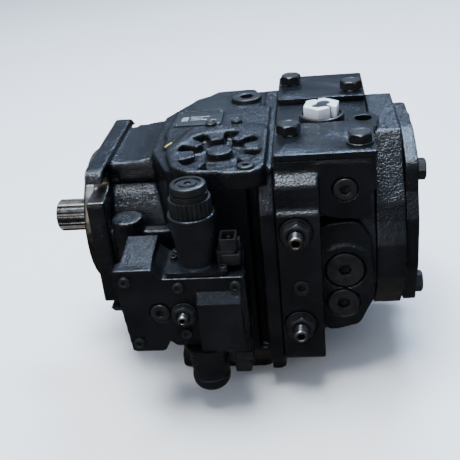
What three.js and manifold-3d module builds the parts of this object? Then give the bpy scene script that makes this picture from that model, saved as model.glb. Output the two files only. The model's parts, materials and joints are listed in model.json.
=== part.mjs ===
// Axial piston pump of the closed-circuit, swashplate kind, for a machine's hydrostatic drive.
// Millimetres. X runs along the drive shaft from the mounting flange to the auxiliary pad, Y is
// across (the control is on the -Y side) and Z is up. While the pieces are made, X = 0 is the
// face of the mounting flange and Y = Z = 0 is the shaft's axis. The last lines move the whole
// pump so that it stands on Z = 0 with its box centred on X = Y = 0.
import * as THREE from "three";
import { mergeVertices } from "three/addons/utils/BufferGeometryUtils.js";
import Module from "manifold-3d";

const wasm = await Module();
wasm.setup();

// ---------------------------------------------------------------- driving dimensions
const GAP = 0.35; // running or fitting gap between neighbouring pieces

// SAE C four-bolt flange and SAE C 14-tooth splined shaft
const PILOT_RADIUS = 63.5;
const PILOT_LENGTH = 12.7;
const FLANGE_THICKNESS = 16;
const FLANGE_BOLT = 57.25; // half of the bolt square
const FLANGE_SLOT = 14.3;
const FLANGE_HALF_WIDTH = 83;
const SPLINE_TEETH = 14;
const SPLINE_RADIUS = 15.6;
const SPLINE_ROOT = 13.3;
const SHAFT_REACH = 55.6;

// lengths along the shaft
const NOSE_END = 70; // the nose behind the flange runs into the case here
const CASE_JOINT = 163; // housing meets end cap
const PAD_JOINT = 245; // end cap meets charge pump housing
const COVER_JOINT = 270; // charge pump housing meets pad cover
const COVER_FACE = 281;

// heights and widths of the castings
const BASE = -131;
const CASE_BOTTOM = -120;
const CASE_TOP = 80;
const TOP_PAD = 86;
const CASE_NEAR = -97;
const CASE_FAR = 104;
const SIDE_FACE = -112;
const CAP_TOP = 88;

// rotating group
const PISTONS = 9;
const PITCH_RADIUS = 39;
const PISTON_RADIUS = 10;
const BALL_RADIUS = 7.5;
const TILT_X = 62; // the swashplate tilts about Y here, in the plane of the piston balls
const BLOCK = { start: 86, end: 156, radius: 54 };
const CAVITY_RADIUS = 59;
const SERVO = { z: -92, radius: 15, half: 16 };

// 1-inch, 6000 psi split-flange ports on top
const PORT = { x: 204.5, y: 67.5, long: 28.58, wide: 13.88, bore: 12.5 };
const PORT_PLATE = { long: 81, wide: 70, thick: 5, spot: 11.2 };
const COVER_EAR = { x: 34.5, y: 40, radius: 13.5, hole: 7.2, foot: 12 }; // from the near cover's middle
const SPOT_DEPTH = 0.5; // the covers are spot-faced where the bolt heads bear

// electric displacement control
const CONTROL = { x: 99, y: -128, face: -146 };

const LARGE = 36; // segments round a big circle
const ROUND = 18;
const SMALL = 10;

// ---------------------------------------------------------------- materials
const PAINT = { color: 0x1b1d20, roughness: 0.42, metalness: 0.15 };
const STEEL = { color: 0x9a9c9f, roughness: 0.3, metalness: 0.95 };
const BOLT_BLACK = { color: 0x24262a, roughness: 0.38, metalness: 0.5 };
const ZINC = { color: 0xb9bcc0, roughness: 0.3, metalness: 0.9 };
const BRONZE = { color: 0xa8793c, roughness: 0.4, metalness: 0.8 };
const IRON = { color: 0x55585c, roughness: 0.5, metalness: 0.8 };
const RUBBER = { color: 0x141414, roughness: 0.8, metalness: 0 };
const WHITE_PLASTIC = { color: 0xeceef0, roughness: 0.45, metalness: 0 };
const BLACK_PLASTIC = { color: 0x17181a, roughness: 0.55, metalness: 0 };
const PLATE = { color: 0x2a2c30, roughness: 0.3, metalness: 0.7 };

// ---------------------------------------------------------------- solids
function toSolid(geometry) {
  const bare = geometry.index ? geometry.toNonIndexed() : geometry;
  bare.deleteAttribute("normal");
  bare.deleteAttribute("uv");
  const merged = mergeVertices(bare, 1e-4);
  const at = merged.attributes.position;
  const corners = [];
  let volume = 0;
  const [a, b, c] = [new THREE.Vector3(), new THREE.Vector3(), new THREE.Vector3()];
  for (let i = 0; i < merged.index.count; i += 3) {
    const [p, q, r] = [merged.index.getX(i), merged.index.getX(i + 1), merged.index.getX(i + 2)];
    if (p === q || q === r || r === p) continue; // a lathe's faces at its axis have no area
    corners.push([p, q, r]);
    a.fromBufferAttribute(at, p);
    b.fromBufferAttribute(at, q);
    c.fromBufferAttribute(at, r);
    volume += a.dot(b.cross(c));
  }
  if (volume < 0) corners.forEach((corner) => corner.reverse());
  return new wasm.Manifold(new wasm.Mesh({
    numProp: 3,
    vertProperties: new Float32Array(at.array),
    triVerts: new Uint32Array(corners.flat()),
  }));
}

function toGeometry(solid) {
  const mesh = solid.getMesh();
  const geometry = new THREE.BufferGeometry();
  geometry.setAttribute("position", new THREE.BufferAttribute(mesh.vertProperties, 3));
  geometry.setIndex(new THREE.BufferAttribute(mesh.triVerts, 1));
  geometry.computeVertexNormals();
  return geometry;
}

const join = (first, ...rest) => rest.reduce((sum, solid) => sum.add(solid), first);
const cut = (first, ...rest) => rest.reduce((left, solid) => left.subtract(solid), first);

// turns a shape made along +Z so that it runs along the named axis
const TURNS = {
  "+x": (g) => g.applyMatrix4(new THREE.Matrix4().set(0, 0, 1, 0, 1, 0, 0, 0, 0, 1, 0, 0, 0, 0, 0, 1)),
  "+y": (g) => g.applyMatrix4(new THREE.Matrix4().set(1, 0, 0, 0, 0, 0, 1, 0, 0, 1, 0, 0, 0, 0, 0, 1)),
  "+z": (g) => g,
};

const polygon = (points) => new THREE.Shape(points.map(([u, v]) => new THREE.Vector2(u, v)));

// an outline extruded from one station to another: in (y, z) along x, (x, z) along y, (x, y) along z
function prism(axis, shape, from, to, curveSegments = 3) {
  const outline = Array.isArray(shape) ? polygon(shape) : shape;
  const settings = { depth: to - from, bevelEnabled: false, curveSegments };
  const geometry = new THREE.ExtrudeGeometry(outline, settings);
  return toSolid(TURNS[axis](geometry.translate(0, 0, from)));
}

function block(x0, x1, y0, y1, z0, z1) {
  const geometry = new THREE.BoxGeometry(x1 - x0, y1 - y0, z1 - z0);
  return toSolid(geometry.translate((x0 + x1) / 2, (y0 + y1) / 2, (z0 + z1) / 2));
}

// a round bar along an axis; u and v are the two coordinates across it, in the order of prism
function rod(axis, u, v, radius, from, to, segments = ROUND) {
  const geometry = new THREE.CylinderGeometry(radius, radius, to - from, segments);
  geometry.rotateX(Math.PI / 2).translate(u, v, (from + to) / 2);
  return toSolid(TURNS[axis](geometry));
}

// a turned piece about +Z from [along, radius] pairs that start and end on the axis
function turned(profile, segments = ROUND) {
  const points = profile.map(([along, radius]) => new THREE.Vector2(radius, along));
  return toSolid(new THREE.LatheGeometry(points, segments).rotateX(Math.PI / 2));
}

// a hollow turned piece, whose profile closes on itself
const ring = (profile, segments = ROUND) => turned([...profile, profile[0]], segments);

// a closed outline with its corners rounded
function rounded(points, radius) {
  const shape = new THREE.Shape();
  const corner = (i) => new THREE.Vector2(...points[(i + points.length) % points.length]);
  points.forEach((_, i) => {
    const here = corner(i);
    const back = corner(i - 1).sub(here);
    const on = corner(i + 1).sub(here);
    const turn = Math.acos(back.dot(on) / back.length() / on.length());
    const reach = Math.min(radius / Math.tan(turn / 2), back.length() / 2.1, on.length() / 2.1);
    const start = here.clone().addScaledVector(back.normalize(), reach);
    const end = here.clone().addScaledVector(on.normalize(), reach);
    if (i === 0) shape.moveTo(start.x, start.y);
    else shape.lineTo(start.x, start.y);
    shape.quadraticCurveTo(here.x, here.y, end.x, end.y);
  });
  return shape;
}

const rectangle = (u0, u1, v0, v1) => [[u0, v0], [u1, v0], [u1, v1], [u0, v1]];

function hexagon(across) {
  const radius = across / Math.sqrt(3);
  return Array.from({ length: 6 }, (_, i) => {
    const angle = (i * Math.PI) / 3;
    return [radius * Math.cos(angle), radius * Math.sin(angle)];
  });
}

const around = (count, make) => Array.from({ length: count }, (_, i) => make((2 * Math.PI * i) / count, i));

// ---------------------------------------------------------------- the scene graph
const pump = new THREE.Group();
const materials = new Map();

function piece(name, solid, look, x = 0, y = 0, z = 0, out = "+z") {
  if (!materials.has(look)) materials.set(look, new THREE.MeshStandardMaterial(look));
  const mesh = new THREE.Mesh(toGeometry(solid), materials.get(look));
  mesh.name = name;
  mesh.position.set(x, y, z);
  if (out === "-y") mesh.rotation.x = Math.PI / 2;
  if (out === "-z") mesh.rotation.x = Math.PI;
  if (out === "+x") mesh.rotation.y = Math.PI / 2;
  if (out === "-x") mesh.rotation.y = -Math.PI / 2;
  pump.add(mesh);
  return mesh;
}

// ---------------------------------------------------------------- fasteners and plugs
// Each is made standing on Z = 0, its head up and its thread down.
function hexHead(across, height) {
  const rim = across / 1.9;
  const dome = turned([[0, 0], [0, across], [height - 1.6, across], [height, rim - 1.5], [height, 0]], SMALL);
  return prism("+z", hexagon(across), 0, height).intersect(dome);
}

function hexBolt(across, height, thread, length) {
  const washerFace = rod("+z", 0, 0, across / 1.75, 0, 1.2, SMALL);
  return join(hexHead(across, height), washerFace, rod("+z", 0, 0, thread, -length, 0.5, SMALL));
}

function socketPlug(radius, height, thread, length, across) {
  const body = turned([
    [-length, 0], [-length, thread], [0, thread], [0, radius], [height - 1, radius], [height, radius - 1],
    [height, 0],
  ]);
  return cut(body, prism("+z", hexagon(across), height - across * 0.6, height + 1));
}

function adjuster(thread, height, length, across) {
  const body = turned([
    [-length, 0], [-length, thread], [height - 2.5, thread], [height - 0.8, thread - 0.8],
    [height, thread - 2], [height, 0],
  ], SMALL);
  return cut(body, prism("+z", hexagon(across), height - 4, height + 1));
}

function lockNut(across, height, thread) {
  const hole = rod("+z", 0, 0, thread + GAP, -1, height + 1, SMALL);
  return cut(join(hexHead(across, height), rod("+z", 0, 0, across / 1.6, 0, 1.5, SMALL)), hole);
}

// ---------------------------------------------------------------- main housing
const MOUNT_EARS = [[-1, 1], [1, 1], [1, -1], [-1, -1]];

function flangeBody() {
  const half = FLANGE_HALF_WIDTH;
  const outline = rounded([
    [-half, 46], [-72, 75], [60, 75], [half, 58], [half, -52], [58, -78], [-58, -78], [-half, -52],
  ], 12);
  const slots = MOUNT_EARS.map(([side, up]) => {
    const y = side * FLANGE_BOLT;
    const z = up * FLANGE_BOLT;
    const reach = side * (half + 10);
    const [y0, y1] = [Math.min(y, reach), Math.max(y, reach)];
    const open = block(-1, FLANGE_THICKNESS + 6, y0, y1, z - FLANGE_SLOT / 2, z + FLANGE_SLOT / 2);
    const seat = rod("+x", y, z, 15, FLANGE_THICKNESS - 1.5, FLANGE_THICKNESS + 7);
    return join(open, rod("+x", y, z, FLANGE_SLOT / 2, -1, FLANGE_THICKNESS + 6, SMALL), seat);
  });
  return { body: prism("+x", outline, 0, FLANGE_THICKNESS), slots };
}

// the case seen from above: it widens behind the nose to the joint with the end cap
const CASE_PLAN = [
  [54, -40], [74, CASE_NEAR + 8], [88, CASE_NEAR], [CASE_JOINT, CASE_NEAR], [CASE_JOINT, CASE_FAR],
  [96, CASE_FAR], [80, CASE_FAR - 12], [54, 40],
];

// what is let into the top of the case
const RECESS = { x: 117, y: -61, along: 36, across: 43, depth: 9 };
const STOP_TURN = 0.2;
const DRAIN = { x: 132, y: 70, thread: 12, sunk: 3.5 };
const PAD_PLUG = { x: 142, y: -101, thread: 4.2, sunk: 1.4 };
const NAME_PLATE = { x0: 68, x1: 112, y0: 3, y1: 42, sunk: 2.8 };

function ellipse(x, y, along, across) {
  const shape = new THREE.Shape();
  shape.absellipse(x, y, along, across, 0, 2 * Math.PI);
  return shape;
}

// eight wedge-shaped stops against the recess's wall, round an octagonal boss on its floor
function recessBlocks() {
  const floor = TOP_PAD - RECESS.depth - 1;
  const boss = rod("+z", RECESS.x, RECESS.y, 12, floor, TOP_PAD - 1, 8);
  const stops = around(8, (angle, i) => {
    const half = i % 2 ? 0.2 : 0.27;
    const wedge = [[0.6, -half], [1, -half * 0.9], [1.05, 0], [1, half * 0.9], [0.6, half]];
    const outline = wedge.map(([share, turn]) => [
      RECESS.x + RECESS.along * share * Math.cos(angle + STOP_TURN + turn),
      RECESS.y + RECESS.across * share * Math.sin(angle + STOP_TURN + turn),
    ]);
    return prism("+z", outline, floor, TOP_PAD - 1.2);
  });
  return [boss, ...stops];
}

function mainHousing() {
  const flange = flangeBody();
  const pilot = turned([
    [-PILOT_LENGTH, 0], [-PILOT_LENGTH, PILOT_RADIUS - 1.5], [-PILOT_LENGTH + 1.5, PILOT_RADIUS],
    [0.5, PILOT_RADIUS], [0.5, 0],
  ], LARGE).rotate([0, 90, 0]);
  const nose = rod("+x", 0, 0, 65, 0, NOSE_END, LARGE);
  const roof = prism("+x", rounded([[-46, 50], [-42, 70], [56, 70], [64, 50]], 5), 8, NOSE_END);
  const fairing = prism("+y", [[30, 60], [34, 69.5], [60, 73], [92, 79.5], [92, 60]], -40, 58);
  const shoulders = [[66, 104, -50, 8], [118, 156, -14, 48]].map((sides) => (
    prism("+z", rounded(rectangle(...sides), 6), CASE_TOP - 10, TOP_PAD - 2)
  ));
  const keel = prism("+x", [[-30, -50], [-24, -112], [24, -112], [30, -50]], 12, NOSE_END + 20);
  const posts = [-78, 76].map((y) => join(
    rod("+z", 33, y, 14, -52, 34),
    block(8, 36, Math.min(y, 0), Math.max(y, 0), -50, 20),
    block(36, 78, y - 6, y + 6, -48, 22),
  ));
  const shell = prism("+z", rounded(CASE_PLAN, 8), CASE_BOTTOM, CASE_TOP);
  // the case's lower edges are cut back to the foot that it stands on
  const lowerCuts = [
    prism("+x", [[-120, -125], [-120, -96], [CASE_NEAR - 1, -96], [-80, -125]], 40, 150),
    prism("+x", [[120, -125], [120, -92], [CASE_FAR + 1, -92], [80, -125]], 40, 150),
  ];
  const foot = prism("+z", rounded(rectangle(62, 150, -78, 78), 8), BASE, CASE_BOTTOM + 2);
  const padPlan = rounded([
    [70, -58], [80, -94], [96, -107], [118, -108], [126, -112], [148, -112], [157, -104], [157, -8],
    [136, -2], [88, -2],
  ], 16);
  const topPad = prism("+z", padPlan, CASE_TOP - 10, TOP_PAD);
  const padShoulder = prism("+z", rounded([
    [62, -30], [96, -2], [155, -8], [155, 26], [148, 44], [140, CASE_FAR - 2], [100, CASE_FAR - 4], [66, 44],
  ], 8), CASE_TOP - 6, TOP_PAD - 2);
  const rearFlange = prism("+x", rounded([
    [SIDE_FACE, -100], [SIDE_FACE, 48], [CASE_NEAR, 74], [CASE_NEAR, CASE_TOP + 2], [CASE_FAR, CASE_TOP + 2],
    [CASE_FAR, -96], [80, CASE_BOTTOM], [-84, CASE_BOTTOM],
  ], 8), 150, CASE_JOINT);
  const frame = join(
    flange.body, pilot, nose, roof, fairing, ...shoulders, keel, ...posts, shell, foot, topPad, padShoulder,
    rearFlange,
  );
  const recess = prism("+z", ellipse(RECESS.x, RECESS.y, RECESS.along, RECESS.across),
    TOP_PAD - RECESS.depth, TOP_PAD + 1, 16);
  const channels = [
    block(141, 149.8, -130, -88, -96, 66),
    block(74, 149.8, SIDE_FACE - 1, CASE_NEAR, BASE, CASE_TOP - 12),
  ];
  const bores = [
    rod("+x", 0, 0, 31 + GAP, 6, 30, LARGE), // front bearing
    rod("+x", 0, 0, 27 + GAP, -8, 7, LARGE), // shaft seal
    rod("+x", 0, 0, 19, -PILOT_LENGTH - 1, -5), // shaft
    rod("+x", 0, 0, CAVITY_RADIUS, 29, CASE_JOINT + 1, LARGE), // rotating group
    rod("+x", 0, SERVO.z, SERVO.radius + GAP, 16, CASE_JOINT - 40), // servo piston
    block(22, 104, -8.5, 8.5, SERVO.z, -40), // swashplate arm
    rod("+z", DRAIN.x, DRAIN.y, DRAIN.thread + GAP, 60, TOP_PAD + 1),
    rod("+z", DRAIN.x, DRAIN.y, 16.5, TOP_PAD - DRAIN.sunk, TOP_PAD + 1), // its spot face
    rod("+z", PAD_PLUG.x, PAD_PLUG.y, PAD_PLUG.thread + GAP, 70, TOP_PAD + 1, SMALL),
    rod("+z", PAD_PLUG.x, PAD_PLUG.y, 7.6, TOP_PAD - PAD_PLUG.sunk, TOP_PAD + 1, SMALL),
    block(NAME_PLATE.x0 - 1, NAME_PLATE.x1 + 1, NAME_PLATE.y0 - 1, NAME_PLATE.y1 + 1,
      TOP_PAD - NAME_PLATE.sunk, TOP_PAD + 1),
  ];
  const open = cut(frame, ...lowerCuts, ...channels, recess, ...bores, ...flange.slots);
  return join(open, ...recessBlocks());
}
piece("main_housing", mainHousing(), PAINT);

// ---------------------------------------------------------------- end cap
const SIDE_PLUGS = [
  { name: "upper_relief_plug", x: 219.5, z: 62, face: -103, radius: 9.5, thread: 8, socket: 8 },
  { name: "high_pressure_relief_plug", x: 218, z: -14, face: -100, radius: 16, thread: 13, socket: 10 },
  { name: "lower_relief_plug", x: 216, z: -47, face: -100, radius: 13.5, thread: 11, socket: 10 },
];
const LIMIT_SCREWS = [
  { name: "upper_pressure_adjuster", x: 179, z: 31 },
  { name: "lower_pressure_adjuster", x: 179, z: -58 },
];
const GAUGE_PLUG = { x: 181, z: -21 };
const CAP_BORE = { x: 204, y: -12, radius: 13 };
const CAP_HEAD = 10.5; // height of the charge port cap's head

function portBolts() {
  const places = [];
  for (const side of [-1, 1]) {
    for (const end of [-1, 1]) {
      places.push([PORT.x + end * PORT.long, side * PORT.y - end * PORT.wide]);
    }
  }
  return places;
}

function padOutline() {
  return [
    [-45, CAP_TOP], [-82, 38], [-87, 22], [-95, 4], [-95, -26], [-78, -52], [-52, -80], [52, -80],
    [88, -44], [92, 40], [52, CAP_TOP],
  ];
}

function endCap() {
  const start = CASE_JOINT + GAP;
  const end = PAD_JOINT - GAP;
  const core = prism("+x", rounded(padOutline(), 6), start, end);
  const deck = prism("+z", rounded(rectangle(start, end, -102, 102), 5), 58, CAP_TOP);
  const underDeck = prism("+x", [[-102, 60], [-70, 0], [70, 0], [102, 60]], start + 8, end - 6);
  const sideFlange = prism("+x", rounded([
    [SIDE_FACE - 4, -92], [SIDE_FACE - 4, 48], [SIDE_FACE, 50], [SIDE_FACE, 70], [-98, 82], [-60, 82],
    [-60, -102], [-104, -102],
  ], 4), start, 199);
  const farFlange = prism("+x", rounded([[60, 80], [102, 80], [CASE_FAR, -96], [76, -116], [-70, -116],
    [-90, -96], [-60, 0]], 8), start, start + 24);
  const upperBlock = prism("+y", rounded([[197, CAP_TOP - 2], [197, 40], [212, 36], [238, 34], [242, 84]], 4),
    -103, -60);
  const lowerBoss = prism("+y", rounded([
    [199, 30], [228, 32], [240, 14], [242, -44], [230, -70], [199, -78],
  ], 9), -100, -50);
  const ringBoss = rod("+y", 218, -14, 24, -102, -60);
  const solid = join(core, deck, underDeck, sideFlange, farFlange, upperBlock, lowerBoss, ringBoss);
  const holes = [
    rod("+x", 0, 0, 27 + GAP, start - 1, 184, LARGE), // rear bearing
    rod("+x", 0, 0, 19, 180, end + 1),
    rod("+z", CAP_BORE.x, CAP_BORE.y, CAP_BORE.radius + GAP, CAP_TOP - 24, CAP_TOP + 1),
    rod("+y", GAUGE_PLUG.x, GAUGE_PLUG.z, 4.2 + GAP, -120, -96, SMALL),
    rod("+y", GAUGE_PLUG.x, GAUGE_PLUG.z, 7.6, -120, SIDE_FACE - 2.5, SMALL),
  ];
  for (const side of [-1, 1]) {
    holes.push(rod("+z", PORT.x, side * PORT.y, PORT.bore, CAP_TOP - 40, CAP_TOP + 1));
    holes.push(rod("+x", side * 39, 0, 9, start - 1, 176, SMALL));
  }
  for (const [x, y] of portBolts()) holes.push(rod("+z", x, y, 6 + GAP, CAP_TOP - 24, CAP_TOP + 1, SMALL));
  for (const plug of SIDE_PLUGS) {
    holes.push(rod("+y", plug.x, plug.z, plug.thread + GAP, plug.face - 3, plug.face + 18));
    holes.push(rod("+y", plug.x, plug.z, plug.radius + 1.5, plug.face - 3, plug.face + 2));
  }
  for (const screw of LIMIT_SCREWS) {
    holes.push(rod("+y", screw.x, screw.z, 6.4 + GAP, -120, -84, SMALL));
    holes.push(rod("+y", screw.x, screw.z, 14.5, -120, SIDE_FACE - 2, 20));
  }
  return cut(solid, ...holes);
}
piece("end_cap", endCap(), PAINT);

// ---------------------------------------------------------------- port covers and their bolts
function portCover(side) {
  const [halfLong, halfWide] = [PORT_PLATE.long / 2, PORT_PLATE.wide / 2];
  const plan = rounded(rectangle(-halfLong, halfLong, -halfWide, halfWide), 3);
  const solids = [prism("+z", plan, 0, PORT_PLATE.thick)];
  const holes = [];
  if (side < 0) { // an empty eye behind its rear bolt
    const ear = COVER_EAR;
    const web = [[ear.x - 6, halfWide - 2], [halfLong, ear.foot], [ear.x + 13, ear.y - 3.7], [ear.x, ear.y]];
    solids.push(rod("+z", ear.x, ear.y, ear.radius, 0, PORT_PLATE.thick, 24));
    solids.push(prism("+z", web, 0, PORT_PLATE.thick));
    holes.push(rod("+z", ear.x, ear.y, ear.hole, -1, PORT_PLATE.thick + 1, SMALL));
  }
  for (const end of [-1, 1]) {
    const [x, bolted] = [end * PORT.long, -end * PORT.wide];
    holes.push(rod("+z", x, bolted, 6 + GAP, -1, PORT_PLATE.thick + 1, SMALL));
    const spotFloor = PORT_PLATE.thick - SPOT_DEPTH;
    holes.push(rod("+z", x, bolted, PORT_PLATE.spot, spotFloor, PORT_PLATE.thick + 1, 20));
  }
  return cut(join(...solids), ...holes);
}
const BOLT_SEAT = CAP_TOP + 2 * GAP + PORT_PLATE.thick - SPOT_DEPTH;
piece("near_port_cover", portCover(-1), PAINT, PORT.x, -PORT.y, CAP_TOP + GAP);
piece("far_port_cover", portCover(1), PAINT, PORT.x, PORT.y, CAP_TOP + GAP);
const portBolt = hexBolt(18, 9, 5.9, 24);
portBolts().forEach(([x, y], i) => {
  piece(`port_cover_bolt_${i + 1}`, portBolt, BOLT_BLACK, x, y, BOLT_SEAT);
});

// ---------------------------------------------------------------- charge port cap and its washer
const WASHER_THICK = 3.4;
const washer = ring([
  [0, CAP_BORE.radius + GAP], [0, 19], [1, 20], [5.2, 20], [6.2, 19.2], [6.2, 17.4], [WASHER_THICK, 17.4],
  [WASHER_THICK, CAP_BORE.radius + GAP],
]);
piece("charge_port_washer", washer, BOLT_BLACK, CAP_BORE.x, CAP_BORE.y, CAP_TOP + GAP);
function chargePortCap() {
  const stem = rod("+z", 0, 0, CAP_BORE.radius - 0.3, -18, 1);
  const head = prism("+z", hexagon(29), 0, CAP_HEAD).intersect(
    turned([[0, 0], [0, 20], [CAP_HEAD - 4, 18], [CAP_HEAD, 14.5], [CAP_HEAD, 0]]));
  const recess = prism("+z", rounded(rectangle(-9, 9, -3.2, 3.2), 1), CAP_HEAD - 3.5, CAP_HEAD + 1);
  return cut(join(stem, head), recess);
}
piece("charge_port_cap", chargePortCap(), WHITE_PLASTIC, CAP_BORE.x, CAP_BORE.y,
  CAP_TOP + 2 * GAP + WASHER_THICK);

// ---------------------------------------------------------------- plugs and name plate on top
piece("drain_plug", socketPlug(15, 4.5, DRAIN.thread, 16, 12), BOLT_BLACK, DRAIN.x, DRAIN.y,
  TOP_PAD - DRAIN.sunk + GAP);
piece("pad_plug", socketPlug(7, 2.5, PAD_PLUG.thread - 0.2, 10, 5), BOLT_BLACK, PAD_PLUG.x, PAD_PLUG.y,
  TOP_PAD - PAD_PLUG.sunk + GAP);
const namePlate = rounded(rectangle(NAME_PLATE.x0, NAME_PLATE.x1, NAME_PLATE.y0, NAME_PLATE.y1), 2);
piece("name_plate", prism("+z", namePlate, 0, 0.8), PLATE, 0, 0, TOP_PAD - NAME_PLATE.sunk + GAP);

// ---------------------------------------------------------------- plugs on the near side
for (const plug of SIDE_PLUGS) {
  const solid = socketPlug(plug.radius, 3, plug.thread, 14, plug.socket);
  piece(plug.name, solid, BOLT_BLACK, plug.x, plug.face + 2 - GAP, plug.z, "-y");
}
piece("gauge_plug", socketPlug(7, 2, 4, 12, 6), BOLT_BLACK, GAUGE_PLUG.x, SIDE_FACE - 2.5 - GAP,
  GAUGE_PLUG.z, "-y");
const limitScrew = adjuster(6.3, 20, 24, 6);
const limitNut = lockNut(21, 10, 6.3);
for (const screw of LIMIT_SCREWS) {
  const face = SIDE_FACE - 2 - GAP;
  piece(screw.name, limitScrew, ZINC, screw.x, face, screw.z, "-y");
  piece(`${screw.name}_lock_nut`, limitNut, BOLT_BLACK, screw.x, face, screw.z, "-y");
}

// ---------------------------------------------------------------- charge pump housing and pad cover
const GEROTOR = { start: 247, end: 263, outer: 40, offset: 2.4, lobes: 6, pin: 10, centre: 28, play: 0.7 };

function chargePumpHousing() {
  const body = prism("+x", rounded(padOutline(), 6), PAD_JOINT, COVER_JOINT - GAP);
  const recess = rod("+x", 0, GEROTOR.offset, GEROTOR.outer + GAP, PAD_JOINT - 1, GEROTOR.end + GAP, LARGE);
  const shaftHole = rod("+x", 0, 0, 19, PAD_JOINT, COVER_JOINT + 1);
  const boltHoles = padBolts().map(([y, z]) => (
    rod("+x", y, z, 5 + GAP, COVER_JOINT - 14, COVER_JOINT + 1, SMALL)
  ));
  return cut(body, recess, shaftHole, ...boltHoles);
}

const PAD_BOLT = 55.4;
function padBolts() {
  return MOUNT_EARS.map(([side, up]) => [side * PAD_BOLT, up * PAD_BOLT]);
}
piece("charge_pump_housing", chargePumpHousing(), PAINT);

function padCover() {
  const outline = rounded([
    [-30, 84], [-50, 78], [-72, 68], [-74, 44], [-84, 22], [-84, -24], [-74, -44], [-70, -66], [-46, -74],
    [46, -74], [70, -66], [74, -44], [84, -24], [84, 22], [74, 44], [72, 68], [50, 78], [30, 84],
  ], 9);
  const plate = prism("+x", outline, COVER_JOINT, COVER_FACE);
  const lug = cut(
    block(COVER_JOINT, COVER_FACE + 5, 20, 42, 30, 66),
    block(COVER_JOINT - 1, COVER_FACE + 6, 25, 37, 46, 60),
  );
  const rim = rod("+x", 0, 0, 46, COVER_FACE - 2.5, COVER_FACE + 1, LARGE);
  const dish = cut(rim, rod("+x", 0, 0, 41, COVER_FACE - 3, COVER_FACE + 2, LARGE));
  const holes = padBolts().map(([y, z]) => join(
    rod("+x", y, z, 5 + GAP, COVER_JOINT - 1, COVER_FACE + 5, SMALL),
    rod("+x", y, z, 10.6, COVER_FACE - SPOT_DEPTH, COVER_FACE + 5, 20),
  ));
  return cut(join(plate, lug), dish, ...holes);
}
piece("auxiliary_pad_cover", padCover(), PAINT);
const padBolt = hexBolt(17, 7.5, 4.9, 22);
padBolts().forEach(([y, z], i) => {
  piece(`pad_cover_bolt_${i + 1}`, padBolt, BOLT_BLACK, COVER_FACE - SPOT_DEPTH + GAP, y, z, "+x");
});

// ---------------------------------------------------------------- displacement control
const CONTROL_BACK = CASE_NEAR - GAP;
const SPOOL = { radius: 5, from: -56, to: 8 };
const CONTROL_PLUG = { x: 66, z: -21 };
const NEUTRAL = { x: 86, z: -22 };
const DECK = 11; // the upper solenoid stands here
const LOWER_DECK = -62; // and the lower one hangs from here

function controlHousing() {
  const plate = prism("+y", rounded([
    [31, 20], [63, 20], [71, DECK], [138, DECK], [138, LOWER_DECK], [91, LOWER_DECK + 14],
    [72, LOWER_DECK + 14], [66, -59], [38, -59],
  ], 3), CONTROL.face, CONTROL.face + 14);
  const body = prism("+y", rounded([
    [36, 18], [63, 18], [71, DECK], [136, DECK], [136, LOWER_DECK], [74, LOWER_DECK], [66, -55], [40, -55],
  ], 3), CONTROL.face + 10, CONTROL_BACK);
  const bevelled = prism("+x", [
    [CONTROL.face + 1, 19], [CONTROL_BACK, 26], [CONTROL_BACK, -30], [CONTROL.face + 1, -30],
  ], 36, 63);
  const valveBlock = prism("+x", [
    [CONTROL.face - 7, -10], [CONTROL.face + 2, 0], [CONTROL_BACK - 10, 2], [CONTROL_BACK - 10, LOWER_DECK],
    [CONTROL.face, LOWER_DECK], [CONTROL.face - 7, -54],
  ], 98, 134);
  const holes = [
    rod("+z", CONTROL.x, CONTROL.y, SPOOL.radius + GAP, LOWER_DECK - 1, DECK + 1, SMALL),
    rod("+y", CONTROL_PLUG.x, CONTROL_PLUG.z, 6 + GAP, CONTROL.face - 1, CONTROL.face + 12, SMALL),
    rod("+y", CONTROL_PLUG.x, CONTROL_PLUG.z, 9.5, CONTROL.face - 1, CONTROL.face + 1.5),
    rod("+y", NEUTRAL.x, NEUTRAL.z, 4.7 + GAP, CONTROL.face - 1, CONTROL.face + 14, SMALL),
  ];
  return cut(join(plate, body, bevelled, valveBlock), ...holes);
}
piece("control_housing", controlHousing(), PAINT);
piece("control_plug", socketPlug(8, 2.5, 5.8, 9, 6), BOLT_BLACK, CONTROL_PLUG.x, CONTROL.face + 1.5 - GAP,
  CONTROL_PLUG.z, "-y");
piece("neutral_adjuster", adjuster(4.6, 12, 12, 4), ZINC, NEUTRAL.x, CONTROL.face - GAP, NEUTRAL.z, "-y");
piece("neutral_adjuster_lock_nut", lockNut(17, 6, 4.6), BOLT_BLACK, NEUTRAL.x, CONTROL.face - GAP,
  NEUTRAL.z, "-y");

function controlSpool() {
  const lands = [-50, -34, -18, 2].map((z) => rod("+z", 0, 0, SPOOL.radius, z - 5, z + 5, SMALL));
  return join(rod("+z", 0, 0, 3, SPOOL.from, SPOOL.to, SMALL), ...lands);
}
piece("control_spool", controlSpool(), STEEL, CONTROL.x, CONTROL.y, 0);

// ---------------------------------------------------------------- solenoids, made standing on Z = 0
const SOLENOID = { base: 14.5, radius: 19.5, length: 50, roundEnd: 1.5, pin: 2.6 };
const LOWER_SOLENOID = { base: 18, radius: 16.5, length: 47, roundEnd: 11 };
const COIL_NUT = { skirt: 12.5, height: 24.5 };

// a can that tapers from its base to a rounded end
function solenoidCan({ base, radius, length, roundEnd }) {
  const shoulder = length - roundEnd;
  const profile = [
    [0, 0], [0, base + 1.5], [4.5, base + 1.5], [6, base], [shoulder - 4, radius - 0.8],
    [shoulder - 3, radius], [shoulder, radius], [length - roundEnd * 0.3, radius - roundEnd * 0.35],
    [length, radius - roundEnd], [length, 0],
  ];
  const foot = prism("+z", rounded(rectangle(-25, 26, -16.5, 19), 4), 0, 4);
  const pinHole = rod("+z", 0, 0, SOLENOID.pin + GAP, length - 12, length + 1, SMALL);
  return cut(join(turned(profile, 24), foot), pinHole);
}

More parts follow.
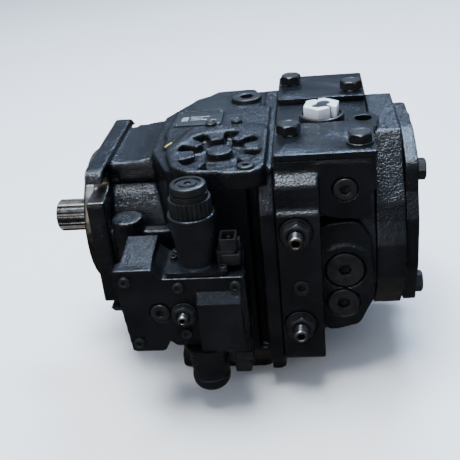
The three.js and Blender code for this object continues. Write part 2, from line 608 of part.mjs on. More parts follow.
function coilNut() {
  const knurl = around(20, (angle) => [
    [15.8 * Math.cos(angle), 15.8 * Math.sin(angle)],
    [17 * Math.cos(angle + 0.1), 17 * Math.sin(angle + 0.1)],
    [17 * Math.cos(angle + 0.2), 17 * Math.sin(angle + 0.2)],
  ]).flat();
  const skirt = prism("+z", knurl, 0, COIL_NUT.skirt);
  const top = COIL_NUT.height;
  const start = COIL_NUT.skirt - 3;
  const cap = turned([[start, 0], [start, 15], [top - 3, 14.6], [top, 12.8], [top, 0]]);
  const dish = prism("+z", ellipse(0, 0, 8.5, 6), top - 2.5, top + 1);
  return cut(join(skirt, cap), dish, rod("+z", 0, 0, SOLENOID.pin + GAP, -1, top + 2, SMALL));
}

function overridePin(length) {
  const r = SOLENOID.pin;
  return turned([[0, 0], [0, r], [length - 0.6, r], [length, r - 0.6], [length, 0]], SMALL);
}

function connector() {
  const base = prism("+z", rounded(rectangle(0, 15, -9, 9), 2), 4 + GAP, 18, 2);
  const step = prism("+z", rounded(rectangle(3, 19, -10.5, 10.5), 2), 6, 15, 2);
  const socket = prism("+z", rounded(rectangle(2.5, 16.5, -8.5, 8.5), 2), 17, 28, 2);
  const mouth = prism("+z", rectangle(4.5, 14.5, -6.5, 6.5), 21, 29);
  return cut(join(base, step, socket), mouth);
}

const UPPER_BASE = DECK + GAP;
const UPPER_TOP = UPPER_BASE + SOLENOID.length + GAP;
piece("upper_solenoid", solenoidCan(SOLENOID), PAINT, CONTROL.x, CONTROL.y, UPPER_BASE);
piece("upper_solenoid_nut", coilNut(), BLACK_PLASTIC, CONTROL.x, CONTROL.y, UPPER_TOP);
piece("upper_override_pin", overridePin(COIL_NUT.height + 4), STEEL, CONTROL.x, CONTROL.y, UPPER_TOP - 5);
piece("upper_connector", connector(), BLACK_PLASTIC, CONTROL.x + 17 + GAP, CONTROL.y, UPPER_BASE);

const LOWER_BASE = LOWER_DECK - GAP;
piece("lower_solenoid", solenoidCan(LOWER_SOLENOID), PAINT, CONTROL.x, CONTROL.y, LOWER_BASE, "-z");
piece("lower_override_pin", overridePin(8.5), STEEL, CONTROL.x, CONTROL.y,
  LOWER_BASE - LOWER_SOLENOID.length + 8, "-z");
piece("lower_connector", connector(), BLACK_PLASTIC, CONTROL.x + LOWER_SOLENOID.base + 2, CONTROL.y,
  LOWER_BASE, "-z");

// ---------------------------------------------------------------- drive shaft, bearings and seal
function driveShaft() {
  const half = Math.PI / SPLINE_TEETH;
  const tooth = [[-0.62, SPLINE_ROOT], [-0.3, SPLINE_RADIUS], [0.3, SPLINE_RADIUS], [0.62, SPLINE_ROOT]];
  const teeth = around(SPLINE_TEETH, (angle) => tooth.map(([share, radius]) => (
    [radius * Math.cos(angle + share * half), radius * Math.sin(angle + share * half)]
  ))).flat();
  const spline = prism("+x", teeth, -SHAFT_REACH, -18).intersect(turned([
    [-SHAFT_REACH, 0], [-SHAFT_REACH, SPLINE_RADIUS - 2.2], [-SHAFT_REACH + 2.2, SPLINE_RADIUS + 0.1],
    [-16, SPLINE_RADIUS + 0.1], [-16, 0],
  ]).rotate([0, 90, 0]));
  const bar = turned([
    [-24, 0], [-24, SPLINE_ROOT - 0.2], [-20, SPLINE_RADIUS + 2], [7, SPLINE_RADIUS + 2], [7, 19.5],
    [28.4, 19.5], [28.4, 16], [166, 16], [166, 15], [184, 15], [184, 10], [262, 10], [262, 0],
  ]).rotate([0, 90, 0]);
  return join(spline, bar);
}
piece("drive_shaft", driveShaft(), STEEL);

function bearing(inner, outer, length) {
  const land = (outer - inner) * 0.32;
  return ring([
    [0, inner], [length, inner], [length, inner + land], [length - 2, inner + land],
    [length - 2, outer - land], [length, outer - land], [length, outer], [0, outer],
  ]).rotate([0, 90, 0]);
}
piece("front_bearing", bearing(19.5 + GAP, 31, 20), STEEL, 8, 0, 0);
piece("rear_bearing", bearing(15 + GAP, 27, 16), STEEL, 166, 0, 0);
const seal = ring([[0, 18], [0, 27], [8, 27], [8, 20], [5, 18]]).rotate([0, 90, 0]);
piece("shaft_seal", seal, RUBBER, -5.5, 0, 0);

// ---------------------------------------------------------------- cylinder block, pistons, valve plate
function cylinderBlock() {
  const body = turned([
    [BLOCK.start, 0], [BLOCK.start, BLOCK.radius - 2], [BLOCK.start + 2, BLOCK.radius],
    [BLOCK.end - 8, BLOCK.radius], [BLOCK.end - 6, BLOCK.radius - 2], [BLOCK.end, BLOCK.radius - 2],
    [BLOCK.end, 0],
  ], LARGE).rotate([0, 90, 0]);
  const bores = around(PISTONS, (angle) => {
    const [y, z] = [PITCH_RADIUS * Math.sin(angle), PITCH_RADIUS * Math.cos(angle)];
    return join(
      rod("+x", y, z, PISTON_RADIUS + GAP, BLOCK.start - 1, BLOCK.end - 6, 14),
      rod("+x", y, z, 5, BLOCK.end - 8, BLOCK.end + 1, 8),
    );
  });
  return cut(body, rod("+x", 0, 0, 17, BLOCK.start - 1, BLOCK.end + 1), ...bores);
}
piece("cylinder_block", cylinderBlock(), IRON);

const PISTON_SOLID = turned([
  [-BALL_RADIUS, 0], [-5.3, 5.3], [0, BALL_RADIUS], [5.6, 5], [9, 5], [18, PISTON_RADIUS],
  [64, PISTON_RADIUS], [64, 0],
], 14).rotate([0, 90, 0]);
around(PISTONS, (angle, i) => piece(`piston_${i + 1}`, PISTON_SOLID, STEEL, TILT_X,
  PITCH_RADIUS * Math.sin(angle), PITCH_RADIUS * Math.cos(angle)));

function valvePlate() {
  const disc = rod("+x", 0, 0, BLOCK.radius - 2, BLOCK.end + GAP, CASE_JOINT, LARGE);
  const kidneys = [0, Math.PI].map((turn) => {
    const shape = new THREE.Shape();
    shape.absarc(0, 0, PITCH_RADIUS + 5, turn - 1.2, turn + 1.2, false);
    shape.absarc(0, 0, PITCH_RADIUS - 5, turn + 1.2, turn - 1.2, true);
    return prism("+x", shape, BLOCK.end, CASE_JOINT + 1, 14);
  });
  return cut(disc, rod("+x", 0, 0, 19, BLOCK.end, CASE_JOINT + 1), ...kidneys);
}
piece("valve_plate", valvePlate(), BRONZE);

// ---------------------------------------------------------------- swashplate, cradle, servo piston
const SWASH = { face: -8.2, back: 30, half: 40, disc: 53 };

function shaftWindow(from, to) {
  return prism("+x", rounded(rectangle(-19.5, 19.5, -27.5, 27.5), 8), from, to);
}

function swashplate() {
  const drum = rod("+y", 0, 0, SWASH.back, -SWASH.half, SWASH.half, 36);
  const behindFace = block(-60, SWASH.face - 6, -60, 60, -60, 60);
  const disc = rod("+x", 0, 0, SWASH.disc, SWASH.face - 7, SWASH.face, LARGE);
  const arm = block(SWASH.face - 7, SWASH.face, -6, 6, SERVO.z + 18, -44);
  const elbow = block(SWASH.face - 7, 2.8, -6, 6, SERVO.z + 18, SERVO.z + 28);
  const finger = block(-2.8, 2.8, -6, 6, SERVO.z, SERVO.z + 24);
  const pin = rod("+y", 0, SERVO.z, 5, -6, 6, ROUND);
  return cut(join(drum.intersect(behindFace), disc, arm, elbow, finger, pin), shaftWindow(-60, 10));
}
piece("swashplate", swashplate(), IRON, TILT_X, 0, 0);

const CRADLE_ARC = 0.72; // each way, in radians, and clear of the disc at full tilt

function cradleBearing() {
  const shape = new THREE.Shape();
  shape.absarc(0, 0, SWASH.back + GAP + 2.2, Math.PI - CRADLE_ARC, Math.PI + CRADLE_ARC, false);
  shape.absarc(0, 0, SWASH.back + GAP, Math.PI + CRADLE_ARC, Math.PI - CRADLE_ARC, true);
  return cut(prism("+y", shape, -SWASH.half, SWASH.half, 12), block(-60, 0, -17.5, 17.5, -17.5, 17.5));
}
piece("cradle_bearing", cradleBearing(), BRONZE, TILT_X, 0, 0);

function slipperRetainer() {
  const plate = rod("+x", 0, 0, 51.5, -1, 2, LARGE);
  const shoes = around(PISTONS, (angle) => {
    const [y, z] = [PITCH_RADIUS * Math.sin(angle), PITCH_RADIUS * Math.cos(angle)];
    return rod("+x", y, z, 12.6, SWASH.face + GAP, 1, 16);
  });
  const sockets = around(PISTONS, (angle) => {
    const [y, z] = [PITCH_RADIUS * Math.sin(angle), PITCH_RADIUS * Math.cos(angle)];
    return rod("+x", y, z, BALL_RADIUS + 2.9, SWASH.face - 1, 3, 12);
  });
  return cut(join(plate, ...shoes), shaftWindow(-30, 10), ...sockets);
}
piece("slipper_retainer", slipperRetainer(), BRONZE, TILT_X, 0, 0);

function servoPiston() {
  const body = rod("+x", 0, 0, SERVO.radius, -SERVO.half, SERVO.half);
  return cut(body, block(-6.9, 6.9, -8, 8, -7, 20));
}
piece("servo_piston", servoPiston(), STEEL, TILT_X, 0, SERVO.z);

// ---------------------------------------------------------------- charge pump gear set
// The outer gear's lobes are arcs; the inner gear's flank is the curve they roll out, less a gap.
function innerGear() {
  const { lobes, offset, pin, centre, play } = GEROTOR;
  const steps = 16 * lobes;
  const flank = around(steps, (angle) => {
    const [x, y] = [
      centre * Math.cos(angle) - offset * Math.cos((lobes + 1) * angle),
      centre * Math.sin(angle) - offset * Math.sin((lobes + 1) * angle),
    ];
    const [dx, dy] = [
      -centre * Math.sin(angle) + offset * (lobes + 1) * Math.sin((lobes + 1) * angle),
      centre * Math.cos(angle) - offset * (lobes + 1) * Math.cos((lobes + 1) * angle),
    ];
    const length = Math.hypot(dx, dy);
    return [x - ((pin + play) * dy) / length, y + ((pin + play) * dx) / length];
  });
  const gear = prism("+x", flank, GEROTOR.start + GAP, GEROTOR.end - GAP);
  return cut(gear, rod("+x", 0, 0, 10 + GAP, GEROTOR.start, GEROTOR.end));
}
piece("charge_pump_inner_gear", innerGear(), IRON);

function outerGear() {
  const { lobes, offset, pin, centre } = GEROTOR;
  const disc = rod("+x", 0, 0, GEROTOR.outer, GEROTOR.start + GAP, GEROTOR.end - GAP, LARGE);
  const hollow = rod("+x", 0, 0, centre - 2, GEROTOR.start, GEROTOR.end, LARGE);
  const pins = around(lobes + 1, (angle) => rod("+x", centre * Math.sin(angle), centre * Math.cos(angle),
    pin, GEROTOR.start + GAP, GEROTOR.end - GAP, 20));
  return join(cut(disc, hollow), ...pins);
}
piece("charge_pump_outer_gear", outerGear(), IRON, 0, 0, GEROTOR.offset);

// ---------------------------------------------------------------- the pump stands on Z = 0
pump.updateMatrixWorld(true);
const box = new THREE.Box3().setFromObject(pump, true);
pump.position.set(-(box.min.x + box.max.x) / 2, -(box.min.y + box.max.y) / 2, -box.min.z);

export default pump;
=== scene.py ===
"""Axial piston pump: castings, fasteners, plugs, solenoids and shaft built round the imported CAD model.

Everything is in metres, in the CAD model's frame. Places are written in millimetres from the middle
of the mounting flange's face, on the shaft's axis, as the pump's own drawing would give them.
"""
import json
import math

import bmesh
import bpy
import numpy as np
from mathutils import Matrix, Vector


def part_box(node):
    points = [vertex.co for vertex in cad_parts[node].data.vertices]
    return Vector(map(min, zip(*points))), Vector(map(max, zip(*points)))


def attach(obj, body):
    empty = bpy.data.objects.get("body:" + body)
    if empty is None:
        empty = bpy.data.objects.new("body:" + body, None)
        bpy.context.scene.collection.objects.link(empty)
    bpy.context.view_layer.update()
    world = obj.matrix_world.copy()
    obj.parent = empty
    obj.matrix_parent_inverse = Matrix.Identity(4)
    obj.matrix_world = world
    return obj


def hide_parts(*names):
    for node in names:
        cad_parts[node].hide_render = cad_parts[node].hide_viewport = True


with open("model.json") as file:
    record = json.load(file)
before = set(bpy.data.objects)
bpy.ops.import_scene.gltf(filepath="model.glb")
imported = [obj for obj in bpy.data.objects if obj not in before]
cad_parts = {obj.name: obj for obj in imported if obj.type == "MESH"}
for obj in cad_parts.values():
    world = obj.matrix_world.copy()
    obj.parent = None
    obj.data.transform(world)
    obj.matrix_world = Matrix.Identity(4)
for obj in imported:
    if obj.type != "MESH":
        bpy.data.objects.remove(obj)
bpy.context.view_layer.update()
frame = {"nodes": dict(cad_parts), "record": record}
MM = 0.001
TAU = 2 * math.pi

# ------------------------------------------------------------------ the pump's own axes and stations
GAP = 0.35  # the CAD model's clearance between one piece and the next
SHAFT_REACH = 55.6  # the shaft's end in front of the flange face
HOUSING_JOINT = 163  # along the shaft, where the case meets the end cap
PAD_JOINT = 245  # where the end cap meets the charge pump housing
COVER_JOINT = 270  # where the charge pump housing meets its blind cover
TOP_PAD = 86  # the case's top above the shaft
DECK_TOP = 88  # the end cap's top above the shaft
shaft_low, shaft_high = (Vector(corner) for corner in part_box("drive_shaft"))
ORIGIN = Vector((
    shaft_low.x + SHAFT_REACH * MM,
    (shaft_low.y + shaft_high.y) / 2,
    (shaft_low.z + shaft_high.z) / 2,
))


def at(x, y, z):
    """A place given in millimetres along the shaft, across it and up from it."""
    return ORIGIN + Vector((x, y, z)) * MM


# local +Z points out of the surface that a piece stands on
FACINGS = {
    "+z": Matrix.Identity(3),
    "-z": Matrix.Rotation(math.pi, 3, "X"),
    "-y": Matrix.Rotation(math.pi / 2, 3, "X"),
    "+x": Matrix.Rotation(math.pi / 2, 3, "Y"),
    "-x": Matrix.Rotation(-math.pi / 2, 3, "Y"),
}


def seat(place, facing="+z", turn=0.0):
    """The matrix that stands a piece made in millimetres on a place."""
    turned = FACINGS[facing] @ Matrix.Rotation(turn, 3, "Z")
    return Matrix.Translation(place) @ turned.to_4x4() @ Matrix.Scale(MM, 4)


def seat_on(node, facing, height, turn=0.0):
    """Stands a piece of a given height where a CAD node's outer end is."""
    low, high = (Vector(corner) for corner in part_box(node))
    place = (low + high) / 2
    axis = "xyz".index(facing[1])
    outward = 1 if facing[0] == "+" else -1
    place[axis] = (high if outward > 0 else low)[axis] - outward * height * MM
    return seat(place, facing, turn)


# ------------------------------------------------------------------ materials
class Look:
    """A material's node tree, with a short call for each kind of node that the looks use."""

    def __init__(self, name, metallic=0.0, coat=0.0, coat_roughness=0.1, specular=0.5):
        self.material = bpy.data.materials.new(name)
        self.material.use_nodes = True
        self.tree = self.material.node_tree
        self.shader = self.tree.nodes["Principled BSDF"]
        self.shader.inputs["Metallic"].default_value = metallic
        self.shader.inputs["Coat Weight"].default_value = coat
        self.shader.inputs["Coat Roughness"].default_value = coat_roughness
        self.shader.inputs["Specular IOR Level"].default_value = specular
        self.place = self.tree.nodes.new("ShaderNodeTexCoord").outputs["Object"]

    def node(self, kind, links=(), **settings):
        """Adds a node; each link gives an input either another node's output or a constant."""
        made = self.tree.nodes.new(kind)
        for key, value in settings.items():
            setattr(made, key, value)
        for socket, value in links:
            if isinstance(value, bpy.types.NodeSocket):
                self.tree.links.new(value, made.inputs[socket])
            else:
                made.inputs[socket].default_value = value
        return made

    def noise(self, size, detail=3.0, rough=0.55, stretch=None):
        """Noise whose features are about size millimetres across; stretch squeezes it along an axis."""
        place = self.place
        if stretch:
            place = self.node("ShaderNodeMapping", [(0, place), ("Scale", stretch)]).outputs[0]
        links = [("Vector", place), ("Scale", 1 / (size * MM)), ("Detail", detail), ("Roughness", rough)]
        return self.node("ShaderNodeTexNoise", links).outputs["Fac"]

    def ramp(self, value, *stops):
        """Maps a value through (position, grey or colour) stops."""
        made = self.node("ShaderNodeValToRGB", [(0, value)])
        points = made.color_ramp.elements
        while len(points) < len(stops):
            points.new(0.5)
        for point, (position, colour) in zip(points, stops):
            grey = (colour,) * 3 if isinstance(colour, (int, float)) else colour
            point.position = position
            point.color = (*grey, 1)
        return made.outputs[0]

    def mix(self, share, first, second):
        """Goes from the first colour to the second as share goes from 0 to 1."""
        made = self.node("ShaderNodeMix", [("Factor", share)], data_type="RGBA")
        for socket, value in ((6, first), (7, second)):
            if isinstance(value, bpy.types.NodeSocket):
                self.tree.links.new(value, made.inputs[socket])
            else:
                made.inputs[socket].default_value = (*value, 1)
        return made.outputs[2]

    def product(self, first, second):
        return self.node("ShaderNodeMath", [(0, first), (1, second)], operation="MULTIPLY").outputs[0]

    def edges(self, low, high):
        """From 0 on flats to 1 on outer edges."""
        return self.ramp(self.node("ShaderNodeNewGeometry").outputs["Pointiness"], (low, 0.0), (high, 1.0))

    def faces_up(self, low, high):
        """From 0 on walls to 1 on tops."""
        normal = self.node("ShaderNodeNewGeometry").outputs["Normal"]
        height = self.node("ShaderNodeSeparateXYZ", [(0, normal)]).outputs[2]
        return self.ramp(height, (low, 0.0), (high, 1.0))

    def bump(self, height, relief):
        """Normals for a height map whose full relief is given in millimetres."""
        links = [("Height", height), ("Distance", relief * MM), ("Strength", 1.0)]
        return self.node("ShaderNodeBump", links).outputs[0]

    def finish(self, colour, roughness, normal=None):
        self.tree.links.new(colour, self.shader.inputs["Base Color"])
        self.tree.links.new(roughness, self.shader.inputs["Roughness"])
        if normal:
            self.tree.links.new(normal, self.shader.inputs["Normal"])
            self.tree.links.new(normal, self.shader.inputs["Coat Normal"])
        return self.material


def black_enamel(name, grain, relief):
    """Semi-gloss black enamel: the grain of the sand casting, thin worn edges, oil, and dust with a painted
    sky sheen on tops.
    """
    look = Look(name, coat=0.30, coat_roughness=0.12, specular=0.24)
    cloud = look.noise(38, 4.0)
    base = look.ramp(cloud, (0.3, (0.0030, 0.0032, 0.0038)), (0.55, (0.0055, 0.0058, 0.0068)),
                     (0.75, (0.0090, 0.0094, 0.0108)))
    # upward faces go patchily toward bluish grey: dust, and with it a painted sheen of the sky on the tops
    film = look.ramp(look.noise(9, 6.0, 0.7), (0.42, 0.0), (0.75, 0.45))
    dust_and_sheen = look.product(look.faces_up(0.35, 0.95), film)
    dusty_and_sheened = look.mix(dust_and_sheen, base, (0.014, 0.018, 0.026))
    chips = look.ramp(look.noise(3.2, 5.0, 0.7), (0.50, 0.0), (0.62, 1.0))
    worn = look.product(look.edges(0.56, 0.64), chips)
    colour = look.mix(worn, dusty_and_sheened, (0.060, 0.052, 0.044))
    oil = look.ramp(look.noise(24, 3.0), (0.35, 0.17), (0.7, 0.30))
    roughness = look.mix(worn, oil, (0.5, 0.5, 0.5))
    sand = look.bump(look.noise(grain, 1.5, 0.5), relief)
    return look.finish(colour, roughness, sand)


def brushed_metal(name, dark, light, rough, line=0.5, stretch=(1, 1, 0.06)):
    """Turned or ground metal with fine lines along its cutting direction and darker stains."""
    look = Look(name, metallic=1.0)
    lines = look.noise(line, 2.0, 0.6, stretch)
    tone = look.mix(look.ramp(look.noise(14, 5.0, 0.65), (0.35, 0.0), (0.7, 1.0)), dark, light)
    colour = look.mix(look.ramp(lines, (0.3, 0.0), (0.75, 0.35)), tone, light)
    roughness = look.ramp(look.noise(5, 4.0), (0.3, rough - 0.08), (0.75, rough + 0.14))
    return look.finish(colour, roughness, look.bump(lines, 0.02))


def fastener_black(name):
    """Black enamel sprayed over steel, worn to the metal on corners."""
    look = Look(name, coat=0.15, coat_roughness=0.18, specular=0.34)
    tone = look.ramp(look.noise(6, 4.0), (0.3, (0.006, 0.006, 0.0065)), (0.72, (0.014, 0.0135, 0.013)))
    chips = look.ramp(look.noise(1.4, 3.0), (0.45, 0.0), (0.6, 1.0))
    worn = look.product(look.edges(0.56, 0.66), chips)
    colour = look.mix(worn, tone, (0.10, 0.094, 0.086))
    roughness = look.ramp(look.noise(4, 3.0), (0.3, 0.26), (0.75, 0.46))
    return look.finish(colour, roughness, look.bump(look.noise(0.9, 3.0), 0.05))


def moulded(name, dark, light, rough, speckle=0.8, specular=0.5):
    """Moulded plastic with a fine satin grain and handling marks."""
    look = Look(name, specular=specular)
    colour = look.mix(look.ramp(look.noise(11, 5.0, 0.6), (0.35, 0.0), (0.7, 1.0)), dark, light)
    roughness = look.ramp(look.noise(2.5, 4.0), (0.3, rough - 0.06), (0.75, rough + 0.12))
    return look.finish(colour, roughness, look.bump(look.noise(speckle, 3.0), 0.03))


def label_look():
    """A blank data plate, its paint thin enough for the metal's lines to show."""
    look = Look("blank_label", metallic=0.35, coat=0.3, coat_roughness=0.2)
    lines = look.noise(0.5, 2.0, 0.6, (0.05, 1, 1))
    colour = look.ramp(look.noise(7, 5.0, 0.7), (0.3, (0.010, 0.011, 0.013)), (0.72, (0.03, 0.031, 0.034)))
    roughness = look.ramp(lines, (0.3, 0.24), (0.7, 0.4))
    return look.finish(colour, roughness, look.bump(lines, 0.02))


ENAMEL = black_enamel("black_enamel_cast", grain=1.45, relief=0.72)
SMOOTH_ENAMEL = black_enamel("black_enamel_machined", grain=1.45, relief=0.36)
FASTENER = fastener_black("black_over_steel")
STEEL = brushed_metal("ground_steel", (0.34, 0.33, 0.32), (0.62, 0.61, 0.60), 0.26)
SHAFT_STEEL = brushed_metal(
    "spline_steel", (0.055, 0.050, 0.044), (0.20, 0.19, 0.18), 0.30, line=0.8, stretch=(0.08, 1, 1))
BARE_IRON = brushed_metal("machined_cast_iron", (0.07, 0.062, 0.052), (0.22, 0.21, 0.19), 0.36, 0.7)
ZINC = brushed_metal("zinc_plate", (0.16, 0.155, 0.15), (0.42, 0.41, 0.40), 0.28)
BRONZE = brushed_metal("bearing_bronze", (0.36, 0.23, 0.10), (0.62, 0.44, 0.22), 0.34)
RUBBER = moulded("seal_rubber", (0.012, 0.012, 0.013), (0.028, 0.028, 0.029), 0.62)
WHITE = moulded("white_plastic", (0.60, 0.61, 0.62), (0.82, 0.83, 0.84), 0.42)
PLASTIC = moulded("black_plastic", (0.006, 0.006, 0.0064), (0.012, 0.012, 0.012), 0.36, specular=0.34)
LABEL = label_look()
WORN_WHITE = moulded("worn_white_print", (0.05, 0.05, 0.052), (0.42, 0.43, 0.45), 0.45, speckle=0.6)
YELLOW = moulded("yellow_paint_mark", (0.35, 0.26, 0.03), (0.62, 0.47, 0.06), 0.5)

# the look that each material slot of the record takes where the CAD shape is shown
SLOT_LOOKS = {
    "black_paint": SMOOTH_ENAMEL, "black_fastener": FASTENER, "bright_steel": STEEL, "zinc": ZINC,
    "bronze": BRONZE, "machined_iron": BARE_IRON, "rubber": RUBBER, "white_plastic": WHITE,
    "black_plastic": PLASTIC, "label_metal": LABEL,
}
node_slots = {row["node"]: row["material_slot"] for row in frame["record"]["subparts"]}
node_bodies = {node: body for body, nodes in frame["record"]["behaviour"]["bodies"].items() for node in nodes}
for node, obj in frame["nodes"].items():
    for material_slot in obj.material_slots:
        material_slot.material = SLOT_LOOKS[node_slots[node]]


# ------------------------------------------------------------------ making pieces
def add_piece(name, mesh, look, body="pump_body", replaces=()):
    """Links a finished mesh as a piece that rides on a body and may stand for CAD nodes."""
    piece = bpy.data.objects.new(name, mesh)
    bpy.context.scene.collection.objects.link(piece)
    if look is not None:
        mesh.materials.clear()
        mesh.materials.append(look)
    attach(piece, body)
    if replaces:
        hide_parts(*replaces)
    return piece


def stand_in(name, mesh, look, node):
    """A detailed piece for one CAD node, on that node's body, in place of the node, which is hidden."""
    return add_piece(name, mesh, look, node_bodies[node], (node,))


def turned_mesh(name, rings, matrix, segments=72, closed=False, sharp=32):
    """A mesh of rings round local Z. Each ring is (height, radius), in millimetres.

    A radius may be a function of the angle and the height, so that the same call makes hexagons,
    sockets, knurls, splines and threads. A ring of radius 0 is one point.
    """
    mesh_data = bmesh.new()
    loops = []
    for height, radius in rings:
        if radius == 0:
            loops.append([mesh_data.verts.new((0, 0, height))])
            continue
        loop = []
        for step in range(segments):
            angle = TAU * step / segments
            reach = radius(angle, height) if callable(radius) else radius
            loop.append(mesh_data.verts.new((reach * math.cos(angle), reach * math.sin(angle), height)))
        loops.append(loop)
    if closed:
        loops.append(loops[0])
    for low, high in zip(loops, loops[1:]):
        for step in range(segments):
            after = (step + 1) % segments
            if len(low) == 1:
                mesh_data.faces.new((low[0], high[after], high[step]))
            elif len(high) == 1:
                mesh_data.faces.new((low[step], low[after], high[0]))
            else:
                mesh_data.faces.new((low[step], low[after], high[after], high[step]))
    bmesh.ops.recalc_face_normals(mesh_data, faces=mesh_data.faces)
    return settle(name, mesh_data, matrix, sharp)


def settle(name, mesh_data, matrix, sharp):
    """Turns a bmesh into a mesh in metres, smooth except along its sharp edges."""
    mesh = bpy.data.meshes.new(name)
    mesh_data.to_mesh(mesh)
    mesh_data.free()
    mesh.transform(matrix)
    mesh.shade_smooth()
    mesh.set_sharp_from_angle(angle=math.radians(sharp))
    return mesh


def plate_mesh(name, outlines, low, high, matrix, bevel=0.5, sharp=35):
    """A flat piece from an outline and the outlines of its holes, with its rims bevelled."""
    mesh_data = bmesh.new()
    for outline in outlines:
        corners = [mesh_data.verts.new((u, v, low)) for u, v in outline]
        for start, end in zip(corners, corners[1:] + corners[:1]):
            mesh_data.edges.new((start, end))
    bmesh.ops.triangle_fill(mesh_data, edges=mesh_data.edges[:], use_beauty=True)
    flat = mesh_data.faces[:]
    raised = bmesh.ops.extrude_face_region(mesh_data, geom=flat)["geom"]
    tops = [part for part in raised if isinstance(part, bmesh.types.BMVert)]
    bmesh.ops.translate(mesh_data, verts=tops, vec=(0, 0, high - low))
    bmesh.ops.recalc_face_normals(mesh_data, faces=mesh_data.faces)
    rims = [edge for edge in mesh_data.edges if edge.calc_face_angle(0) > math.radians(60)]
    bmesh.ops.bevel(mesh_data, geom=rims, offset=bevel, segments=2, profile=0.6, affect="EDGES")
    return settle(name, mesh_data, matrix, sharp)


def circle(u, v, radius, steps=40):
    angles = [TAU * step / steps for step in range(steps)]
    return [(u + radius * math.cos(angle), v + radius * math.sin(angle)) for angle in angles]


def rounded_rectangle(u0, u1, v0, v1, radius, steps=6):
    """A rectangle whose corners are arcs."""
    corners = ((u1 - radius, v1 - radius, 0), (u0 + radius, v1 - radius, 1),
               (u0 + radius, v0 + radius, 2), (u1 - radius, v0 + radius, 3))
    outline = []
    for u, v, quarter in corners:
        for step in range(steps + 1):
            angle = (quarter + step / steps) * math.pi / 2
            outline.append((u + radius * math.cos(angle), v + radius * math.sin(angle)))
    return outline


def hexagon(across, cone=None):
    """The radius of a hexagon across its flats, held within cone, a radius or a function of height."""
    def radius(angle, height):
        flat = across / 2 / math.cos(angle % (math.pi / 3) - math.pi / 6)
        if cone is None:
            return flat
        return min(flat, cone(height) if callable(cone) else cone)
    return radius


def oval(along, across):
    """The radius of an ellipse with the given half axes."""
    return lambda angle, _: along * across / math.hypot(across * math.cos(angle), along * math.sin(angle))


THREAD = {"pitch": 1.5, "depth": 0.55, "rings": 8}


def threaded(radius, start, end):
    """The rings of a right-hand thread, whose crest climbs one pitch in each turn."""
    def crest(angle, height):
        phase = (height / THREAD["pitch"] - angle / TAU) % 1.0
        return radius - THREAD["depth"] * abs(2 * phase - 1)

    steps = round((end - start) / THREAD["pitch"] * THREAD["rings"])
    return [(start + (end - start) * step / steps, crest) for step in range(steps + 1)]


def hex_rings(across, start, height):
    """A hexagon head with its corners cut to a cone at the top, as forged heads have."""
    corner = across / math.sqrt(3)
    chamfer = height * 0.22
    cone = lambda z: corner - max(0.0, z - (start + height - chamfer)) / chamfer * (corner - across * 0.46)
    steps = [start + height - chamfer * (1 - share) for share in (0, 0.2, 0.4, 0.6, 0.8, 1.0)]
    return [(start, hexagon(across, corner * 0.985)), (start + 0.3, hexagon(across))] + [
        (z, hexagon(across, cone)) for z in steps]


def socket_rings(top, across, depth):
    """A hexagon socket: a countersunk mouth, straight walls and a drilled bottom."""
    return [(top, across * 0.64), (top - 0.5, hexagon(across)), (top - depth, hexagon(across)),
            (top - depth - across * 0.2, 0)]


def hex_bolt(across, height, radius, length, washer=None):
    """A bolt whose head stands on local Z = 0, on a washer face or a washer of some radius and thickness."""
    face, thick = washer or (across * 0.52, 0.8)
    dish = 0.25
    shank = [(-length, 0), (-length, radius - 1.2), (-length + 1.2, radius - 0.3), (-0.2, radius - 0.3)]
    flange = [(-0.2, face - 0.3), (0.1, face), (thick - 0.2, face), (thick, face - 0.3)]
    top = [(height, across * 0.36), (height - dish, across * 0.34), (height - dish, 0)]
    return shank + flange + hex_rings(across, thick, height - thick) + top


def socket_plug(radius, height, bore, length, across):
    """A flush screw plug with a rounded rim and a hexagon socket."""
    stem = [(-length, 0), (-length, bore - 1), (-length + 1, bore - 0.2), (-0.4, bore - 0.2)]
    head = [(-0.4, radius - 0.4), (0, radius), (height - 1.0, radius), (height - 0.5, radius - 0.25),
            (height - 0.12, radius - 0.7), (height, radius - 1.2)]
    return stem + head + socket_rings(height, across, min(across * 0.6, height + length - 3))


def cap_screw(radius, height, across):
    """The head of a socket cap screw, sunk a little into its seat."""
    wall = [(-0.6, 0), (-0.6, radius), (height - 0.8, radius)]
    rim = [(height - 0.25, radius - 0.2), (height, radius - 0.8)]
    return wall + rim + socket_rings(height, across, height * 0.55)


# ------------------------------------------------------------------ castings
BEYOND = 200  # farther from the shaft than any piece reaches


def machined_box(x0, x1, y0=-BEYOND, y1=BEYOND, z0=-BEYOND, z1=BEYOND):
    return at(x0, y0, z0), at(x1, y1, z1)


def triples(items, attribute):
    """An attribute of all a mesh's vertices or faces, one row of three values for each."""
    values = np.empty(len(items) * 3)
    items.foreach_get(attribute, values)
    return values.reshape(-1, 3)


def in_boxes(points, boxes):
    """Says of each point whether it lies in any of the boxes."""
    inside = np.zeros(len(points), bool)
    for low, high in boxes:
        inside |= np.all((points > np.array(low)) & (points < np.array(high)), axis=1)
    return inside


def baked(obj):
    """A new mesh with the object's modifiers applied."""
    bpy.context.view_layer.update()
    return bpy.data.meshes.new_from_object(obj.evaluated_get(bpy.context.evaluated_depsgraph_get()))


def smooth(obj, name, passes):
    modifier = obj.modifiers.new(name, "SMOOTH")
    modifier.factor = 0.5
    modifier.iterations = passes
    return modifier


